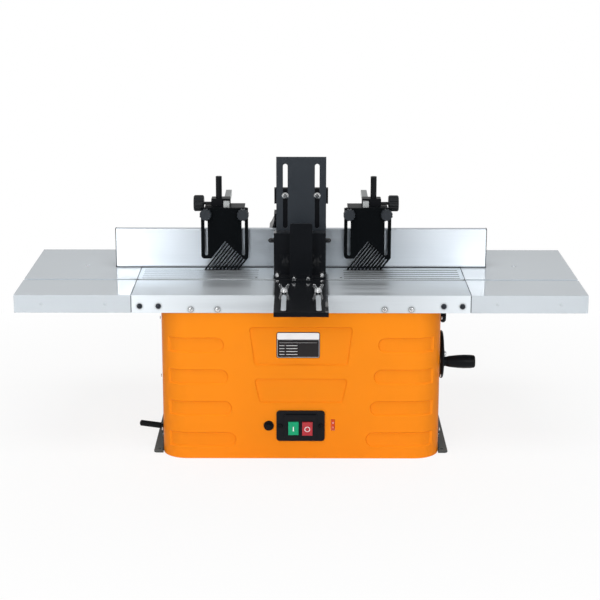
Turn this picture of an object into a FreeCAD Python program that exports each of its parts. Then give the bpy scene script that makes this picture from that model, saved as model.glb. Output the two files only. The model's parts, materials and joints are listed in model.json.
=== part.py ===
import FreeCAD, Part
import math
import os

# Benchtop spindle moulder, modelled in millimetres.
# X runs along the table, Y runs from the operator to the back, Z is up.
# The origin lies on the bench, in the middle of the four bench bolt holes.

V = FreeCAD.Vector
AXES = {"x": V(1, 0, 0), "y": V(0, 1, 0), "z": V(0, 0, 1)}

# How far a cutting tool reaches past the surface that it cuts
OVERCUT = 1.0

# Table
TABLE_HEIGHT = 304.0
TABLE_DEPTH = 360.0
CENTRE_WIDTH = 598.0
WING_WIDTH = 205.5
SEAM_GAP = 0.5
SKIRT_HEIGHT = 32.0
SKIRT_T = 3.0
TABLE_TOP_T = 6.0
WING_SHEET_T = 2.0
SLOT_FROM_FRONT = 115.0
SLOT_WIDTH = 10.0
SLOT_DEPTH = 4.6
SLOT_WALL = 1.4
TABLE_RIB_T = 4.0
TABLE_RIB_DEPTH = 8.0
TABLE_RIB_GAP = 1.0
TABLE_RIB_FROM_FRONT = (70.0, 160.0, 300.0)
GROOVE_WIDTH = 3.0
GROOVE_DEPTH = 0.8
GROOVE_FROM_FRONT = (126.5, 142.0, 157.5, 173.0, 188.5)
GROOVE_FROM_SEAM = 8.0
GROOVE_INNER_X = 80.0
OPENING_R = 50.0
INSERT_R = 56.0
INSERT_T = 3.0
INSERT_BORE_R = 30.0
INSERT_CLEARANCE = 0.2
WING_HOLE_R = 5.0
WING_HOLE_FROM_SEAM = 103.0
WING_HOLE_FROM_FRONT = 224.0

# Screws along the table skirt
JOINT_SCREW_FROM_SEAM = (48.0, 15.0)
JOINT_SCREW_DROP = 20.0
SKIRT_SCREW_FROM_WALL = (103.0, 56.0)
SKIRT_SCREW_DROP = 25.6
SCREW_HEAD_R = 4.5
SCREW_HEAD_T = 2.6
SCREW_SHANK_R = 2.5
SCREW_GRIP = 3.0
SCREW_CROWN_SHARE = 0.62
SCREW_RIM_SHARE = 0.45
TONGUE_T = 3.0
TONGUE_REACH = 57.0
TONGUE_HEIGHT = 18.0
WINDOW_CLEARANCE = 0.2

# Pressed steel housing
TABLE_OVERHANG = 49.0
BODY_CORNER_R = 46.0
BODY_WALL = 2.0
PRESS_DEPTH = 3.0
PRESS_SLOPE = 2.5
PRESS_LEAD = 0.5
RIB_HEIGHT = 29.0
RIB_PITCH = 58.7
RIB_LOWEST_Z = 35.5
RIB_INNER_X = (115.5, 122.5, 129.0, 136.0)
RIB_WRAP_DEG = 45.0
RIB_END_SLOPE_DEG = 45.0
PANEL_CORNER_R = 6.0
UPPER_PANEL = (173.8, 245.7, 84.5, 92.0)
LOWER_PANEL = (103.8, 150.5, 76.0, 83.0)
VENT_WIDTH = 5.0
VENT_LENGTH = 34.0
VENT_PITCH = 14.0
VENT_COUNT = 8
VENT_Z = (110.0, 170.0)

# Foot rails and bench bolts
RAIL_LENGTH = 296.0
RAIL_REACH = 17.5
RAIL_T = 2.5
RAIL_LEG = 25.0
RAIL_CORNER_R = 7.0
BENCH_HOLE_OUT = 7.5
BENCH_HOLE_Y = 132.0
SPARE_HOLE_Y = 41.0
BENCH_HOLE_R = 3.5
RAIL_SCREW_Y = 90.0
RAIL_SCREW_Z = 14.0

# Height lock knob on the right wall
LOCK_DROP = 94.0
LOCK_R = 14.0
LOCK_T = 10.5
LOCK_GAP = 14.0
LOCK_STUD_R = 4.0
LOCK_BOSS_R = 9.0
LOCK_BOSS_T = 8.0
LOCK_FLUTES = 14
LOCK_FLUTE_R = 1.2
LOCK_CROWN = 3.0
LOCK_PAD_T = 8.0
LOCK_PAD_WIDTH = 24.0
LOCK_PAD_MARGIN = 8.0

# Switch
SWITCH_X = -0.5
SWITCH_Z = 62.5
SWITCH_WIDTH = 86.4
SWITCH_HEIGHT = 56.6
SWITCH_CORNER_R = 6.0
SWITCH_FLANGE_T = 3.5
SURROUND_WIDTH = 58.0
SURROUND_HEIGHT = 44.0
SURROUND_T = 3.5
SURROUND_CORNER_R = 2.0
SWITCH_BOX_DEPTH = 36.0
SWITCH_SCREW_SPAN = 73.0
BUTTON_WIDTH = 18.6
BUTTON_HEIGHT = 24.6
BUTTON_SPAN = 24.9
BUTTON_OFFSET_X = -0.4
BUTTON_EDGE_R = 0.8
BUTTON_CENTRE_Z = 59.2
BUTTON_DEPTH = 12.0
BUTTON_CLEARANCE = 0.3
BUTTON_TRAVEL = 3.0
START_PROUD = 1.5
STOP_PROUD = 4.0

# Overload reset button and speed wheel
RESET_X = -57.6
RESET_Z = 62.1
RESET_COLLAR_R = 9.3
RESET_COLLAR_T = 3.0
RESET_COLLAR_TAPER = 0.8
RESET_BODY_R = 7.0
RESET_BODY_DEPTH = 26.0
RESET_BUTTON_R = 5.6
RESET_BUTTON_CLEARANCE = 0.25
RESET_PROUD = 4.0
RESET_STROKE = 2.5
RESET_HEAD_DEPTH = 12.0
RESET_CROWN = 1.2
SPEED_X = 57.5
SPEED_Z = 63.5
SPEED_WHEEL_R = 14.0
SPEED_WHEEL_WIDTH = 6.2
SPEED_WHEEL_PROUD = 2.5
SPEED_SLOT_CLEARANCE = 0.4
SPEED_PIN_R = 3.0
SPEED_BORE_CLEARANCE = 0.08
SPEED_BODY_SIZE = 20.0
SPEED_BODY_T = 12.0
SPEED_FLUTES = 24
SPEED_FLUTE_R = 0.9
SPEED_CROWN = 0.6

# Spindle lock lever on the left wall
LEVER_PIVOT_INSET = 18.0
LEVER_FROM_FRONT = 41.8
LEVER_Z = 45.0
LEVER_SWEEP_DEG = 20.8
LEVER_OUTER_LENGTH = 66.0
LEVER_INNER_LENGTH = 26.0
LEVER_ROD_R = 3.5
LEVER_SLEEVE_R = 5.4
LEVER_SLEEVE_LENGTH = 41.0
LEVER_SLEEVE_CROWN = 1.5
LEVER_ROD_INSET = 4.0
LEVER_EYE_R = 8.0
LEVER_EYE_T = 8.0
LEVER_PIN_R = 3.0
LEVER_PIN_CLEARANCE = 0.06
LEVER_SWING_DEG = 10.0
LEVER_SLOT_MARGIN = 1.5
LEVER_TAB_T = 3.0
LEVER_TAB_HALF = 10.0

# Cable gland at the back
GLAND_X = -150.0
GLAND_Z = 60.0
GLAND_NUT_R = 11.0
GLAND_NUT_T = 8.0
GLAND_DOME_T = 9.0
GLAND_BORE_R = 4.0
GLAND_THREAD_R = 8.0
GLAND_THREAD_LENGTH = 6.0
GLAND_DOME_R = 6.8

# Spindle, motor and lift
SPINDLE_Y = 38.0
NUT_ABOVE_TABLE = 12.0
COLLET_NUT_HEIGHT = 24.0
COLLET_NUT_FLATS = 30.0
COLLET_BORE_R = 6.0
COLLET_BORE_CLEARANCE = 0.02
COLLET_LENGTH = 30.0
COLLET_TOP_R = 11.0
COLLET_TAPER_R = 8.5
COLLET_LIP_T = 2.0
COLLET_LIP_STEP = 1.5
COLLET_SLIT = 1.0
COLLET_SLIT_START = 10.0
NUT_LIP = 4.0
NUT_CROWN_T = 3.0
NUT_CROWN_STEP = 4.0
SPINDLE_HEAD_R = 12.5
SPINDLE_HEAD_LENGTH = 44.0
MOTOR_R = 50.0
MOTOR_LENGTH = 140.0
MOTOR_WALL = 6.0
MOTOR_CHAMFER = 8.0
MOTOR_ROOF_T = 3.0
NOSE_R = 30.0
NOSE_LENGTH = 26.0
NOSE_GAP = 1.0
NOSE_LIP = 4.0
UPPER_BEARING_R = 20.0
UPPER_BEARING_BORE_R = 8.5
UPPER_BEARING_WIDTH = 12.0
LOWER_BEARING_R = 14.0
LOWER_BEARING_BORE_R = 6.0
LOWER_BEARING_WIDTH = 9.0
BEARING_CLEARANCE = 0.02
BEARING_SHOULDER = 3.0
BEARING_LIP = 4.0
SHAFT_GAP = 1.0
ARMATURE_R = 24.0
ARMATURE_LENGTH = 62.0
COMMUTATOR_R = 13.0
COMMUTATOR_LENGTH = 14.0
COMMUTATOR_GAP = 4.0
COMMUTATOR_RISE = 12.0
SPINDLE_FOOT_GAP = 0.5
FAN_R = 40.0
FAN_HEIGHT = 12.0
FAN_BLADES = 9
FAN_BLADE_T = 2.0
FAN_HUB_R = 13.0
FAN_FLOOR_T = 2.5
FAN_DROP = 6.0
FAN_BLADE_DEG = 25.0
FAN_BLADE_ROOT = 2.0
FAN_BLADE_GAP = 1.0
COLUMN_X = 80.0
COLUMN_R = 10.0
COLUMN_CLEARANCE = 0.05
COLUMN_BOTTOM_Z = 40.0
TIE_PLATE_T = 10.0
TIE_PLATE_MARGIN = 16.0
TIE_CORNER_R = 10.0
TIE_WINDOW_R = 25.0
SLEEVE_WALL = 7.0
SLEEVE_HEIGHT = 50.0
CARRIAGE_T = 12.0
CARRIAGE_RING_WALL = 8.0
CARRIAGE_RING_HEIGHT = 32.0
LIFT_TRAVEL = 20.0

# Crank, bevel gears and lead screw
CRANK_Y = -76.0
CRANK_DROP = 137.5
CRANK_SHAFT_R = 6.0
SHAFT_CLEARANCE = 0.05
SHAFT_HOLE_GAP = 2.0
GEAR_TEETH = 16
GEAR_MODULE = 2.0
GEAR_FACE = 8.0
GEAR_BACKLASH = 0.16
GEAR_ADDENDUM = 0.8
GEAR_DEDENDUM = 1.15
GEAR_HUB_R = 11.0
GEAR_HUB_LENGTH = 8.0
GEAR_ROOT_SINK = 0.4
PRESSURE_ANGLE = 20.0
SCREW_R = 7.0
SCREW_JOURNAL_R = 5.0
SCREW_TOP_GAP = 6.0
NUT_BOSS_R = 13.0
NUT_BOSS_HEIGHT = 28.0
BRACKET_SHELF_T = 12.0
BRACKET_PLATE_T = 8.0
BRACKET_LEFT_X = -24.0
BRACKET_CHEEK_T = 14.0
BRACKET_REACH = 24.0
BRACKET_FOOT_T = 4.0
BRACKET_FOOT_GAP = 1.0
THRUST_GAP = 0.2

# Hand wheel and handle
WHEEL_R = 44.0
WHEEL_CENTRE_T = 8.5
WHEEL_RIM_T = 5.2
WHEEL_WALL_GAP = 4.5
WHEEL_HUB_R = 11.0
WHEEL_RIM_WIDTH = 10.0
WHEEL_RIM_ROUND = 1.6
WHEEL_DISH_R = 20.0
WHEEL_DISH_T = 6.9
WHEEL_BOLT_R = 3.0
HUB_SCREW_R = 6.0
HUB_SCREW_T = 4.0
HUB_SCREW_RIM_T = 2.0
HUB_SCREW_CROWN_R = 3.6
HANDLE_DY = -31.0
HANDLE_DZ = -4.8
HANDLE_PIN_R = 4.0
HANDLE_PIN_HEAD_R = 6.5
HANDLE_PIN_HEAD_T = 2.5
HANDLE_LENGTH = 53.0
HANDLE_ROOT_R = 8.6
HANDLE_END_R = 11.4
HANDLE_END_ROUND = 1.9
HANDLE_BELLY = ((6.4, 10.2), (21.2, 11.8), (32.9, 12.4), (45.0, 12.2))
HANDLE_CLEARANCE = 0.08
HANDLE_END_GAP = 0.3

# Fence
FENCE_FACE_Y = 30.7
FENCE_HEIGHT = 74.0
FENCE_T = 12.0
FENCE_OUTER_X = 347.0
FENCE_GAP_HALF = 35.0
FENCE_LIFT = 0.4
TEE_Z = 37.5
TEE_NECK = 8.0
TEE_HEAD = 15.0
TEE_DEPTH = 4.0
TEE_CLEARANCE = 0.3
TEE_END_GAP = 2.0
FENCE_EDGE_R = 1.0
HOOD_CENTRE_X = -6.2
HOOD_HALF = 54.0
HOOD_TOP_HALF = 44.5
HOOD_SHOULDER_Z = 64.0
HOOD_HEIGHT = 100.0
HOOD_DEPTH = 88.0
HOOD_WALL = 3.0
HOOD_SAG_SHARE = 0.28
HOOD_DROP_SHARE = 0.12
HOOD_SLOPE_START = 40.0
HOOD_BACK_HEIGHT = 76.0
PORT_R = 30.0
PORT_WALL = 3.0
PORT_LENGTH = 40.0
PORT_Z = 40.0
CARRIER_END_X = 200.0
CARRIER_T = 3.0
CARRIER_HEIGHT = 58.0
CARRIER_DEPTH = 76.0
FENCE_BOLT_X = 150.0
FENCE_BOLT_Y = 95.0
FENCE_BOLT_R = 4.0
FENCE_SLOT_CLEARANCE = 0.4
FENCE_SLOT_SPARE = 2.0
FENCE_BOLT_TAIL = 4.0
FENCE_TRAVEL = 30.0
LOCK_KNOB_R = 17.0
LOCK_KNOB_T = 16.0
LOCK_KNOB_STEM_R = 8.0
LOCK_KNOB_STEM_T = 8.0
LOCK_KNOB_LOBES = 6
LOCK_KNOB_LOBE_R = 5.1
LOCK_KNOB_CROWN = 2.5

# Pressure combs
COMB_CENTRES = {"left": -141.9, "right": 123.3}
COMB_SIDE = {"left": 1.0, "right": -1.0}
COMB_WIDTH = 87.2
COMB_TOP = 117.5
COMB_T = 8.0
COMB_FACE_Y = 7.0
COMB_FRAME_BOTTOM = 22.5
COMB_TIP = 1.6
COMB_CORNER_R = 6.0
COMB_SLOT_WIDTH = 6.0
COMB_SLOT_INSET = 9.2
COMB_SLOT_BOTTOM = 27.0
COMB_STUD_DROP = 10.5
COMB_APEX_DX = 0.9
COMB_APEX_Z = 56.0
COMB_CHAMFER_Z = 24.0
FINGER_COUNT = 10
FINGER_SHARE = 0.38
FINGER_DEG = 52.0
FINGER_ROOT = 3.0
ROOT_DEG = 45.0
COMB_KNOB_R = 11.0
COMB_KNOB_T = 14.0
COMB_KNOB_FLUTES = 12
COMB_KNOB_FLUTE_R = 1.6
COMB_KNOB_CROWN = 1.5
COMB_STUD_R = 2.8
SEAT_GAP = 0.3
POST_DX = -11.2
POST_R = 5.7
POST_TOP = 172.2
POST_STUD_R = 4.0
POST_STUD_LENGTH = 14.0
POST_CLEARANCE = 0.05
CLAMP_WIDTH = 35.5
CLAMP_DX = -7.4
CLAMP_DEPTH = 22.0
CLAMP_EDGE_R = 1.5
CLAMP_TOP = 132.2
CLAMP_BOTTOM = 117.9
BAR_DX = 3.6
BAR_WIDTH = 11.0
BAR_HEIGHT = 10.0
BAR_BOTTOM = 119.2
BAR_LENGTH = 115.0
BAR_CLEARANCE = 0.15
FLANGE_T = 3.0
FLANGE_DEPTH = 42.0
FLANGE_HALF = 37.0
LUG_SIDE_GAP = 3.0
HOLDER_HALF = 30.0
HOLDER_DROP = 55.0
HOLDER_LUG_DROP = 18.0
NOTCH_CLEARANCE = 2.0
CLAMP_KNOB_R = 15.0
CLAMP_KNOB_T = 19.0
CLAMP_KNOB_GAP = 13.9
CLAMP_KNOB_STEM_R = 2.8
CLAMP_KNOB_FLUTES = 10
CLAMP_KNOB_FLUTE_R = 2.4
CLAMP_KNOB_CROWN = 2.0
CLAMP_KNOB_Z = 121.6

# Front guard
GUARD_WIDTH = 93.2
GUARD_T = 3.0
GUARD_OVERHANG = 127.5
GUARD_BACK_Y = -20.0
GUARD_LIP = 8.0
GUARD_SLOT_X = 30.0
GUARD_SLOT_WIDTH = 8.6
GUARD_SLOT_FROM_EDGE = 15.5
GUARD_STUD_FROM_FRONT = 13.5
GUARD_STUD_R = 4.0
GUARD_LIFT = 0.2
WING_NUT_R = 7.0
WING_NUT_T = 6.0
WING_NUT_TOP_R = 4.3
WING_INNER = ((5.6, 1.0), (9.5, 12.5))
WING_OUTER = ((7.5, 14.0), (5.5, 13.4), (1.4, 6.0), (2.8, 1.0))
WING_T = 2.6
WING_STUD_TIP = 2.0
MAST_Y = -30.0
MAST_WIDTH = 90.8
MAST_T = 3.0
MAST_TOP = 220.0
MAST_SLOT_X = 29.0
MAST_SLOT_WIDTH = 8.4
MAST_SLOT_BOTTOM = 88.0
MAST_SLOT_TOP = 207.4
MAST_FOOT = 16.0
MAST_FOOT_WIDTH = 80.0
BOX_DX = -2.7
BOX_WIDTH = 94.0
BOX_FRONT_Y = -53.0
BOX_TOP = 84.0
BOX_WALL = 3.0
BOX_FOOT_FRONT_Y = -70.0
BOSS_HALF = 20.0
BOSS_FRONT_Y = -83.0
BOSS_TOP = 108.0
BOSS_CORNER_R = 4.0
BOSS_FOOT_FRONT_Y = -97.0
PEG_R = 4.2
PEG_Y = -41.0
PEG_Z = 68.0
PEG_OUT = 10.5
BOX_BOLT_SPAN = 80.4
BOX_BOLT_Y = -60.0
BOX_BOLT_R = 4.6
BOX_BOLT_T = 5.4
BOX_BOLT_RIM_T = 3.2
BOX_BOLT_CROWN_R = 2.5
BOSS_NUT_SPAN = 25.4
BOSS_NUT_Y = -90.0
BOSS_NUT_SIZE = 6.4
BOSS_NUT_T = 3.6
BOSS_STUD_R = 1.9
BOSS_STUD_TIP = 1.8
SLIDER_T = 10.0
SLIDER_HALF = 42.0
SLIDER_TOP = 162.0
SLIDER_BOTTOM = 64.0
EAR_HEIGHT = 28.0
EAR_OUT = 3.6
EAR_WRAP = 3.0
SHOE_REACH = 20.0
SHOE_T = 8.0
SHOE_FLAT_HALF = 28.0
SHOE_RISE = 12.0
SLIDER_BOLT_Z = 149.0
SLIDER_BOLT_R = 4.0
SLIDER_BOLT_HEAD_R = 6.2
SLIDER_BOLT_HEAD_T = 4.6

# Sizes that follow from the ones above
TOP = TABLE_HEIGHT
FRONT_Y = -TABLE_DEPTH / 2.0
BACK_Y = TABLE_DEPTH / 2.0
SEAM_X = CENTRE_WIDTH / 2.0
UNDER_TOP_Z = TOP - TABLE_TOP_T
SKIRT_BOTTOM_Z = TOP - SKIRT_HEIGHT
GROOVE_OUTER_X = SEAM_X - GROOVE_FROM_SEAM
WING_HOLE_X = SEAM_X + WING_HOLE_FROM_SEAM
JOINT_SCREW_X = tuple(SEAM_X - d for d in JOINT_SCREW_FROM_SEAM)
TONGUE_END_X = SEAM_X - TONGUE_REACH
BODY_HALF_X = SEAM_X - TABLE_OVERHANG
SKIRT_SCREW_X = tuple(BODY_HALF_X - d for d in SKIRT_SCREW_FROM_WALL)
BENCH_HOLE_X = BODY_HALF_X + BENCH_HOLE_OUT
BODY_FRONT_Y = FRONT_Y + SKIRT_T
BODY_BACK_Y = -BODY_FRONT_Y
BODY_INNER_FRONT_Y = BODY_FRONT_Y + BODY_WALL
LEVER_PIVOT_X = LEVER_PIVOT_INSET - BODY_HALF_X
LEVER_PIVOT_Y = BODY_FRONT_Y + LEVER_FROM_FRONT
LOCK_Z = TOP - LOCK_DROP
CRANK_Z = TOP - CRANK_DROP
SLOT_Y = FRONT_Y + SLOT_FROM_FRONT
NUT_TOP_Z = TOP + NUT_ABOVE_TABLE
NUT_BOTTOM_Z = NUT_TOP_Z - COLLET_NUT_HEIGHT
SPINDLE_HEAD_TOP_Z = NUT_TOP_Z - NUT_LIP
SPINDLE_HEAD_BOTTOM_Z = SPINDLE_HEAD_TOP_Z - SPINDLE_HEAD_LENGTH
NOSE_TOP_Z = SPINDLE_HEAD_BOTTOM_Z - NOSE_GAP
MOTOR_TOP_Z = NOSE_TOP_Z - NOSE_LENGTH
MOTOR_BOTTOM_Z = MOTOR_TOP_Z - MOTOR_LENGTH
FENCE_BACK_Y = FENCE_FACE_Y + FENCE_T
POST_Y = FENCE_FACE_Y + FENCE_T / 2.0
COMB_BACK_Y = COMB_FACE_Y + COMB_T
HOLDER_Y = COMB_BACK_Y + SEAT_GAP
CLAMP_FRONT_Y = POST_Y - CLAMP_DEPTH / 2.0
GUARD_TOP_Z = TOP + GUARD_LIFT + GUARD_T
GUARD_FRONT_Y = FRONT_Y - GUARD_OVERHANG
GUARD_SLOT_FRONT_Y = GUARD_FRONT_Y + GUARD_SLOT_FROM_EDGE
GUARD_STUD_Y = FRONT_Y + GUARD_STUD_FROM_FRONT
MAST_BACK_Y = MAST_Y + MAST_T


def box(x0, x1, y0, y1, z0, z1):
    return Part.makeBox(x1 - x0, y1 - y0, z1 - z0, V(x0, y0, z0))


def cyl(radius, start, length, axis="z"):
    return Part.makeCylinder(radius, length, start, AXES[axis])


def cone(r0, r1, start, length, axis="z"):
    return Part.makeCone(r0, r1, length, start, AXES[axis])


def fuse(shapes):
    shapes = list(shapes)
    result = shapes[0].multiFuse(shapes[1:]) if len(shapes) > 1 else shapes[0]
    return result.removeSplitter()


def cut(shape, tools):
    return shape.cut(list(tools)).removeSplitter()


def moved(shape, x=0.0, y=0.0, z=0.0):
    return shape.translated(V(x, y, z))


def mirror_x(shape):
    return shape.mirror(V(0, 0, 0), AXES["x"])


def mirror_y(shape):
    return shape.mirror(V(0, 0, 0), AXES["y"])


def polygon_prism(points, direction):
    face = Part.Face(Part.makePolygon(points + [points[0]]))
    return face.extrude(direction)


def revolve(profile, origin, axis="z"):
    # The profile is a list of (radius, height) pairs along the axis.
    side = AXES["y"] if axis == "x" else AXES["x"]
    points = [origin + side * r + AXES[axis] * h for r, h in profile]
    face = Part.Face(Part.makePolygon(points + [points[0]]))
    return face.revolve(origin, AXES[axis], 360)


def corner_prism(x0, x1, y0, y1, z0, z1, radius):
    # A block whose four upright edges are rounded.
    block = box(x0, x1, y0, y1, z0, z1)
    upright = [e for e in block.Edges if abs(e.tangentAt(e.FirstParameter).z) > 0.99]
    return block.makeFillet(radius, upright)


def round_edges_along(shape, axis, radius):
    # Rounds every straight edge of a block that runs along one axis.
    edges = [e for e in shape.Edges if abs(e.tangentAt(e.FirstParameter).dot(AXES[axis])) > 0.99]
    return shape.makeFillet(radius, edges)


def long_slot(width, start, end, depth, axis):
    # A round-ended slot from the centre start to the centre end, cut along the axis.
    run = end.sub(start)
    across = run.cross(AXES[axis]).normalize() * (width / 2.0)
    corners = [start + across, end + across, end - across, start - across]
    body = polygon_prism(corners, AXES[axis] * depth)
    ends = [Part.makeCylinder(width / 2.0, depth, p, AXES[axis]) for p in (start, end)]
    return fuse([body] + ends)


def pan_screw(head_r, head_t, shank_r, shank_length):
    # A screw along Y: the shank runs to +Y from the origin and the domed head to -Y.
    crown_r = head_r * SCREW_CROWN_SHARE
    rim_t = head_t * SCREW_RIM_SHARE
    head = cone(crown_r, head_r, V(0, -head_t, 0), head_t - rim_t, "y")
    rim = cyl(head_r, V(0, -rim_t, 0), rim_t, "y")
    shank = cyl(shank_r, V(0, 0, 0), shank_length, "y")
    return fuse([head, rim, shank])


def fluted_knob(radius, thickness, flutes, flute_r, crown):
    # A knob along Z with a chamfered crown and scalloped flutes round its rim.
    profile = [(0, 0), (radius - crown, 0), (radius, crown), (radius, thickness - crown)]
    profile += [(radius - crown, thickness), (0, thickness)]
    knob = revolve(profile, V(0, 0, 0))
    tools = []
    for i in range(flutes):
        angle = 2.0 * math.pi * i / flutes
        place = V(radius * math.cos(angle), radius * math.sin(angle), -1)
        tools.append(cyl(flute_r, place, thickness + 2))
    return cut(knob, tools)


def turned(shape, axis):
    # Turns a shape made along Z so that its +Z end points along the named direction.
    turns = {"-y": (AXES["x"], 90), "+y": (AXES["x"], -90), "-x": (AXES["y"], -90), "+x": (AXES["y"], 90)}
    about, angle = turns[axis]
    return shape.rotated(V(0, 0, 0), about, angle)


def save(name, shape):
    shape.exportStep("parts/" + name + ".step")


# Table


def table_centre():
    plate = box(-SEAM_X, SEAM_X, FRONT_Y, BACK_Y, SKIRT_BOTTOM_Z, TOP)
    hollow = box(-SEAM_X + SKIRT_T, SEAM_X - SKIRT_T, FRONT_Y + SKIRT_T, BACK_Y - SKIRT_T,
                 SKIRT_BOTTOM_Z - OVERCUT, UNDER_TOP_Z)
    table = plate.cut(hollow)
    ribs = []
    inner_x = SEAM_X - SKIRT_T
    for from_front in TABLE_RIB_FROM_FRONT:
        y = FRONT_Y + from_front
        for side in (-1, 1):
            ends = sorted((side * inner_x, side * (BODY_HALF_X + TABLE_RIB_GAP)))
            ribs.append(box(ends[0], ends[1], y - TABLE_RIB_T / 2, y + TABLE_RIB_T / 2,
                            UNDER_TOP_Z - TABLE_RIB_DEPTH, UNDER_TOP_Z))
    table = fuse([table] + ribs)
    tools = [cyl(OPENING_R, V(0, SPINDLE_Y, UNDER_TOP_Z - OVERCUT), TABLE_TOP_T + 2 * OVERCUT)]
    tools.append(cyl(INSERT_R + INSERT_CLEARANCE, V(0, SPINDLE_Y, TOP - INSERT_T), INSERT_T + OVERCUT))
    tools.append(box(-SEAM_X - OVERCUT, SEAM_X + OVERCUT, SLOT_Y - SLOT_WIDTH / 2, SLOT_Y + SLOT_WIDTH / 2,
                     TOP - SLOT_DEPTH, TOP + OVERCUT))
    for from_front in GROOVE_FROM_FRONT:
        y = FRONT_Y + from_front
        start = V(GROOVE_INNER_X, y, TOP - GROOVE_DEPTH)
        end = V(GROOVE_OUTER_X - GROOVE_WIDTH / 2, y, TOP - GROOVE_DEPTH)
        groove = long_slot(GROOVE_WIDTH, start, end, GROOVE_DEPTH + OVERCUT, "z")
        tools += [groove, mirror_x(groove)]
    for x in (-FENCE_BOLT_X, FENCE_BOLT_X):
        tools.append(cyl(FENCE_BOLT_R, V(x, FENCE_BOLT_Y, UNDER_TOP_Z - OVERCUT), TABLE_TOP_T + 2 * OVERCUT))
    for x in (-GUARD_SLOT_X, GUARD_SLOT_X):
        tools.append(cyl(GUARD_STUD_R, V(x, GUARD_STUD_Y, UNDER_TOP_Z - OVERCUT), TABLE_TOP_T + 2 * OVERCUT))
    return cut(table, tools + skirt_holes() + tongue_windows())


def skirt_holes():
    holes = []
    for drop, places in ((JOINT_SCREW_DROP, JOINT_SCREW_X), (SKIRT_SCREW_DROP, SKIRT_SCREW_X)):
        for x in places:
            for side in (-1, 1):
                start = V(side * x, FRONT_Y - OVERCUT, TOP - drop)
                holes.append(cyl(SCREW_SHANK_R, start, TABLE_DEPTH + 2 * OVERCUT, "y"))
    return holes


def tongue_box(x0, x1, grow):
    # The space of the right front tongue between two X stations.
    z = TOP - JOINT_SCREW_DROP
    half = TONGUE_HEIGHT / 2.0 + grow
    y0 = FRONT_Y + SKIRT_T
    return box(x0, x1, y0, y0 + TONGUE_T + grow, z - half, z + half)


def table_wing():
    # The right wing. It is folded sheet, with tongues that reach behind the centre skirt.
    x0 = SEAM_X + SEAM_GAP
    x1 = x0 + WING_WIDTH
    sheet = WING_SHEET_T
    plate = box(x0, x1, FRONT_Y, BACK_Y, SKIRT_BOTTOM_Z, TOP)
    hollow = box(x0 + sheet, x1 - sheet, FRONT_Y + sheet, BACK_Y - sheet,
                 SKIRT_BOTTOM_Z - OVERCUT, TOP - sheet)
    half = SLOT_WIDTH / 2.0
    channel = box(x0, x1, SLOT_Y - half - SLOT_WALL, SLOT_Y + half + SLOT_WALL,
                  TOP - SLOT_DEPTH - SLOT_WALL, TOP)
    tongue = tongue_box(TONGUE_END_X, x0 + sheet, 0.0)
    wing = fuse([plate.cut(hollow), channel, tongue, mirror_y(tongue)])
    slot = box(x0 - OVERCUT, x1 + OVERCUT, SLOT_Y - half, SLOT_Y + half, TOP - SLOT_DEPTH, TOP + OVERCUT)
    hole_place = V(WING_HOLE_X, FRONT_Y + WING_HOLE_FROM_FRONT, TOP - sheet - OVERCUT)
    hole = cyl(WING_HOLE_R, hole_place, sheet + 2 * OVERCUT)
    return cut(wing, [slot, hole] + skirt_holes())


def tongue_windows():
    # Windows for the tongues in the end skirts of the centre table.
    window = tongue_box(SEAM_X - SKIRT_T - OVERCUT, SEAM_X + OVERCUT, WINDOW_CLEARANCE)
    return [window, mirror_x(window), mirror_y(window), mirror_x(mirror_y(window))]


def table_insert():
    ring = cyl(INSERT_R, V(0, SPINDLE_Y, TOP - INSERT_T), INSERT_T)
    return ring.cut(cyl(INSERT_BORE_R, V(0, SPINDLE_Y, TOP - INSERT_T - OVERCUT), INSERT_T + 2 * OVERCUT))


def skirt_screw_set(places, drop, grip):
    # Screws in the front skirt and, turned round, in the back skirt.
    screws = []
    for x in places:
        for side in (-1, 1):
            screw = pan_screw(SCREW_HEAD_R, SCREW_HEAD_T, SCREW_SHANK_R, grip)
            front = moved(screw, side * x, FRONT_Y, TOP - drop)
            screws += [front, mirror_y(front)]
    return screws


# Housing


def rib_section(z, grow):
    # A tapered pressing section at the start of the right front corner, in the YZ plane.
    # It starts a little in front of the sheet and narrows by the slope towards its floor.
    x = BODY_HALF_X - BODY_CORNER_R
    half = RIB_HEIGHT / 2.0 + grow
    outer = BODY_FRONT_Y - PRESS_LEAD
    floor = BODY_FRONT_Y + PRESS_DEPTH + grow
    points = [V(x, outer, z - half), V(x, outer, z + half)]
    points += [V(x, floor, z + half - PRESS_SLOPE), V(x, floor, z - half + PRESS_SLOPE)]
    return Part.Face(Part.makePolygon(points + [points[0]]))


def rib_end_wedge(centre, z, grow):
    # What is taken off the wrapped end of a rib, so that its floor slopes up to the sheet.
    wrap = math.radians(RIB_WRAP_DEG)
    lean = math.radians(RIB_WRAP_DEG + RIB_END_SLOPE_DEG)
    normal = V(math.cos(lean), math.sin(lean), 0)
    place = centre + V(math.sin(wrap), -math.cos(wrap), 0) * BODY_CORNER_R + normal * grow
    wedge = box(0, BODY_CORNER_R, -BODY_CORNER_R, BODY_CORNER_R, z - RIB_HEIGHT, z + RIB_HEIGHT)
    wedge = wedge.rotated(V(0, 0, 0), AXES["z"], RIB_WRAP_DEG + RIB_END_SLOPE_DEG)
    return moved(wedge, place.x, place.y)


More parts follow.
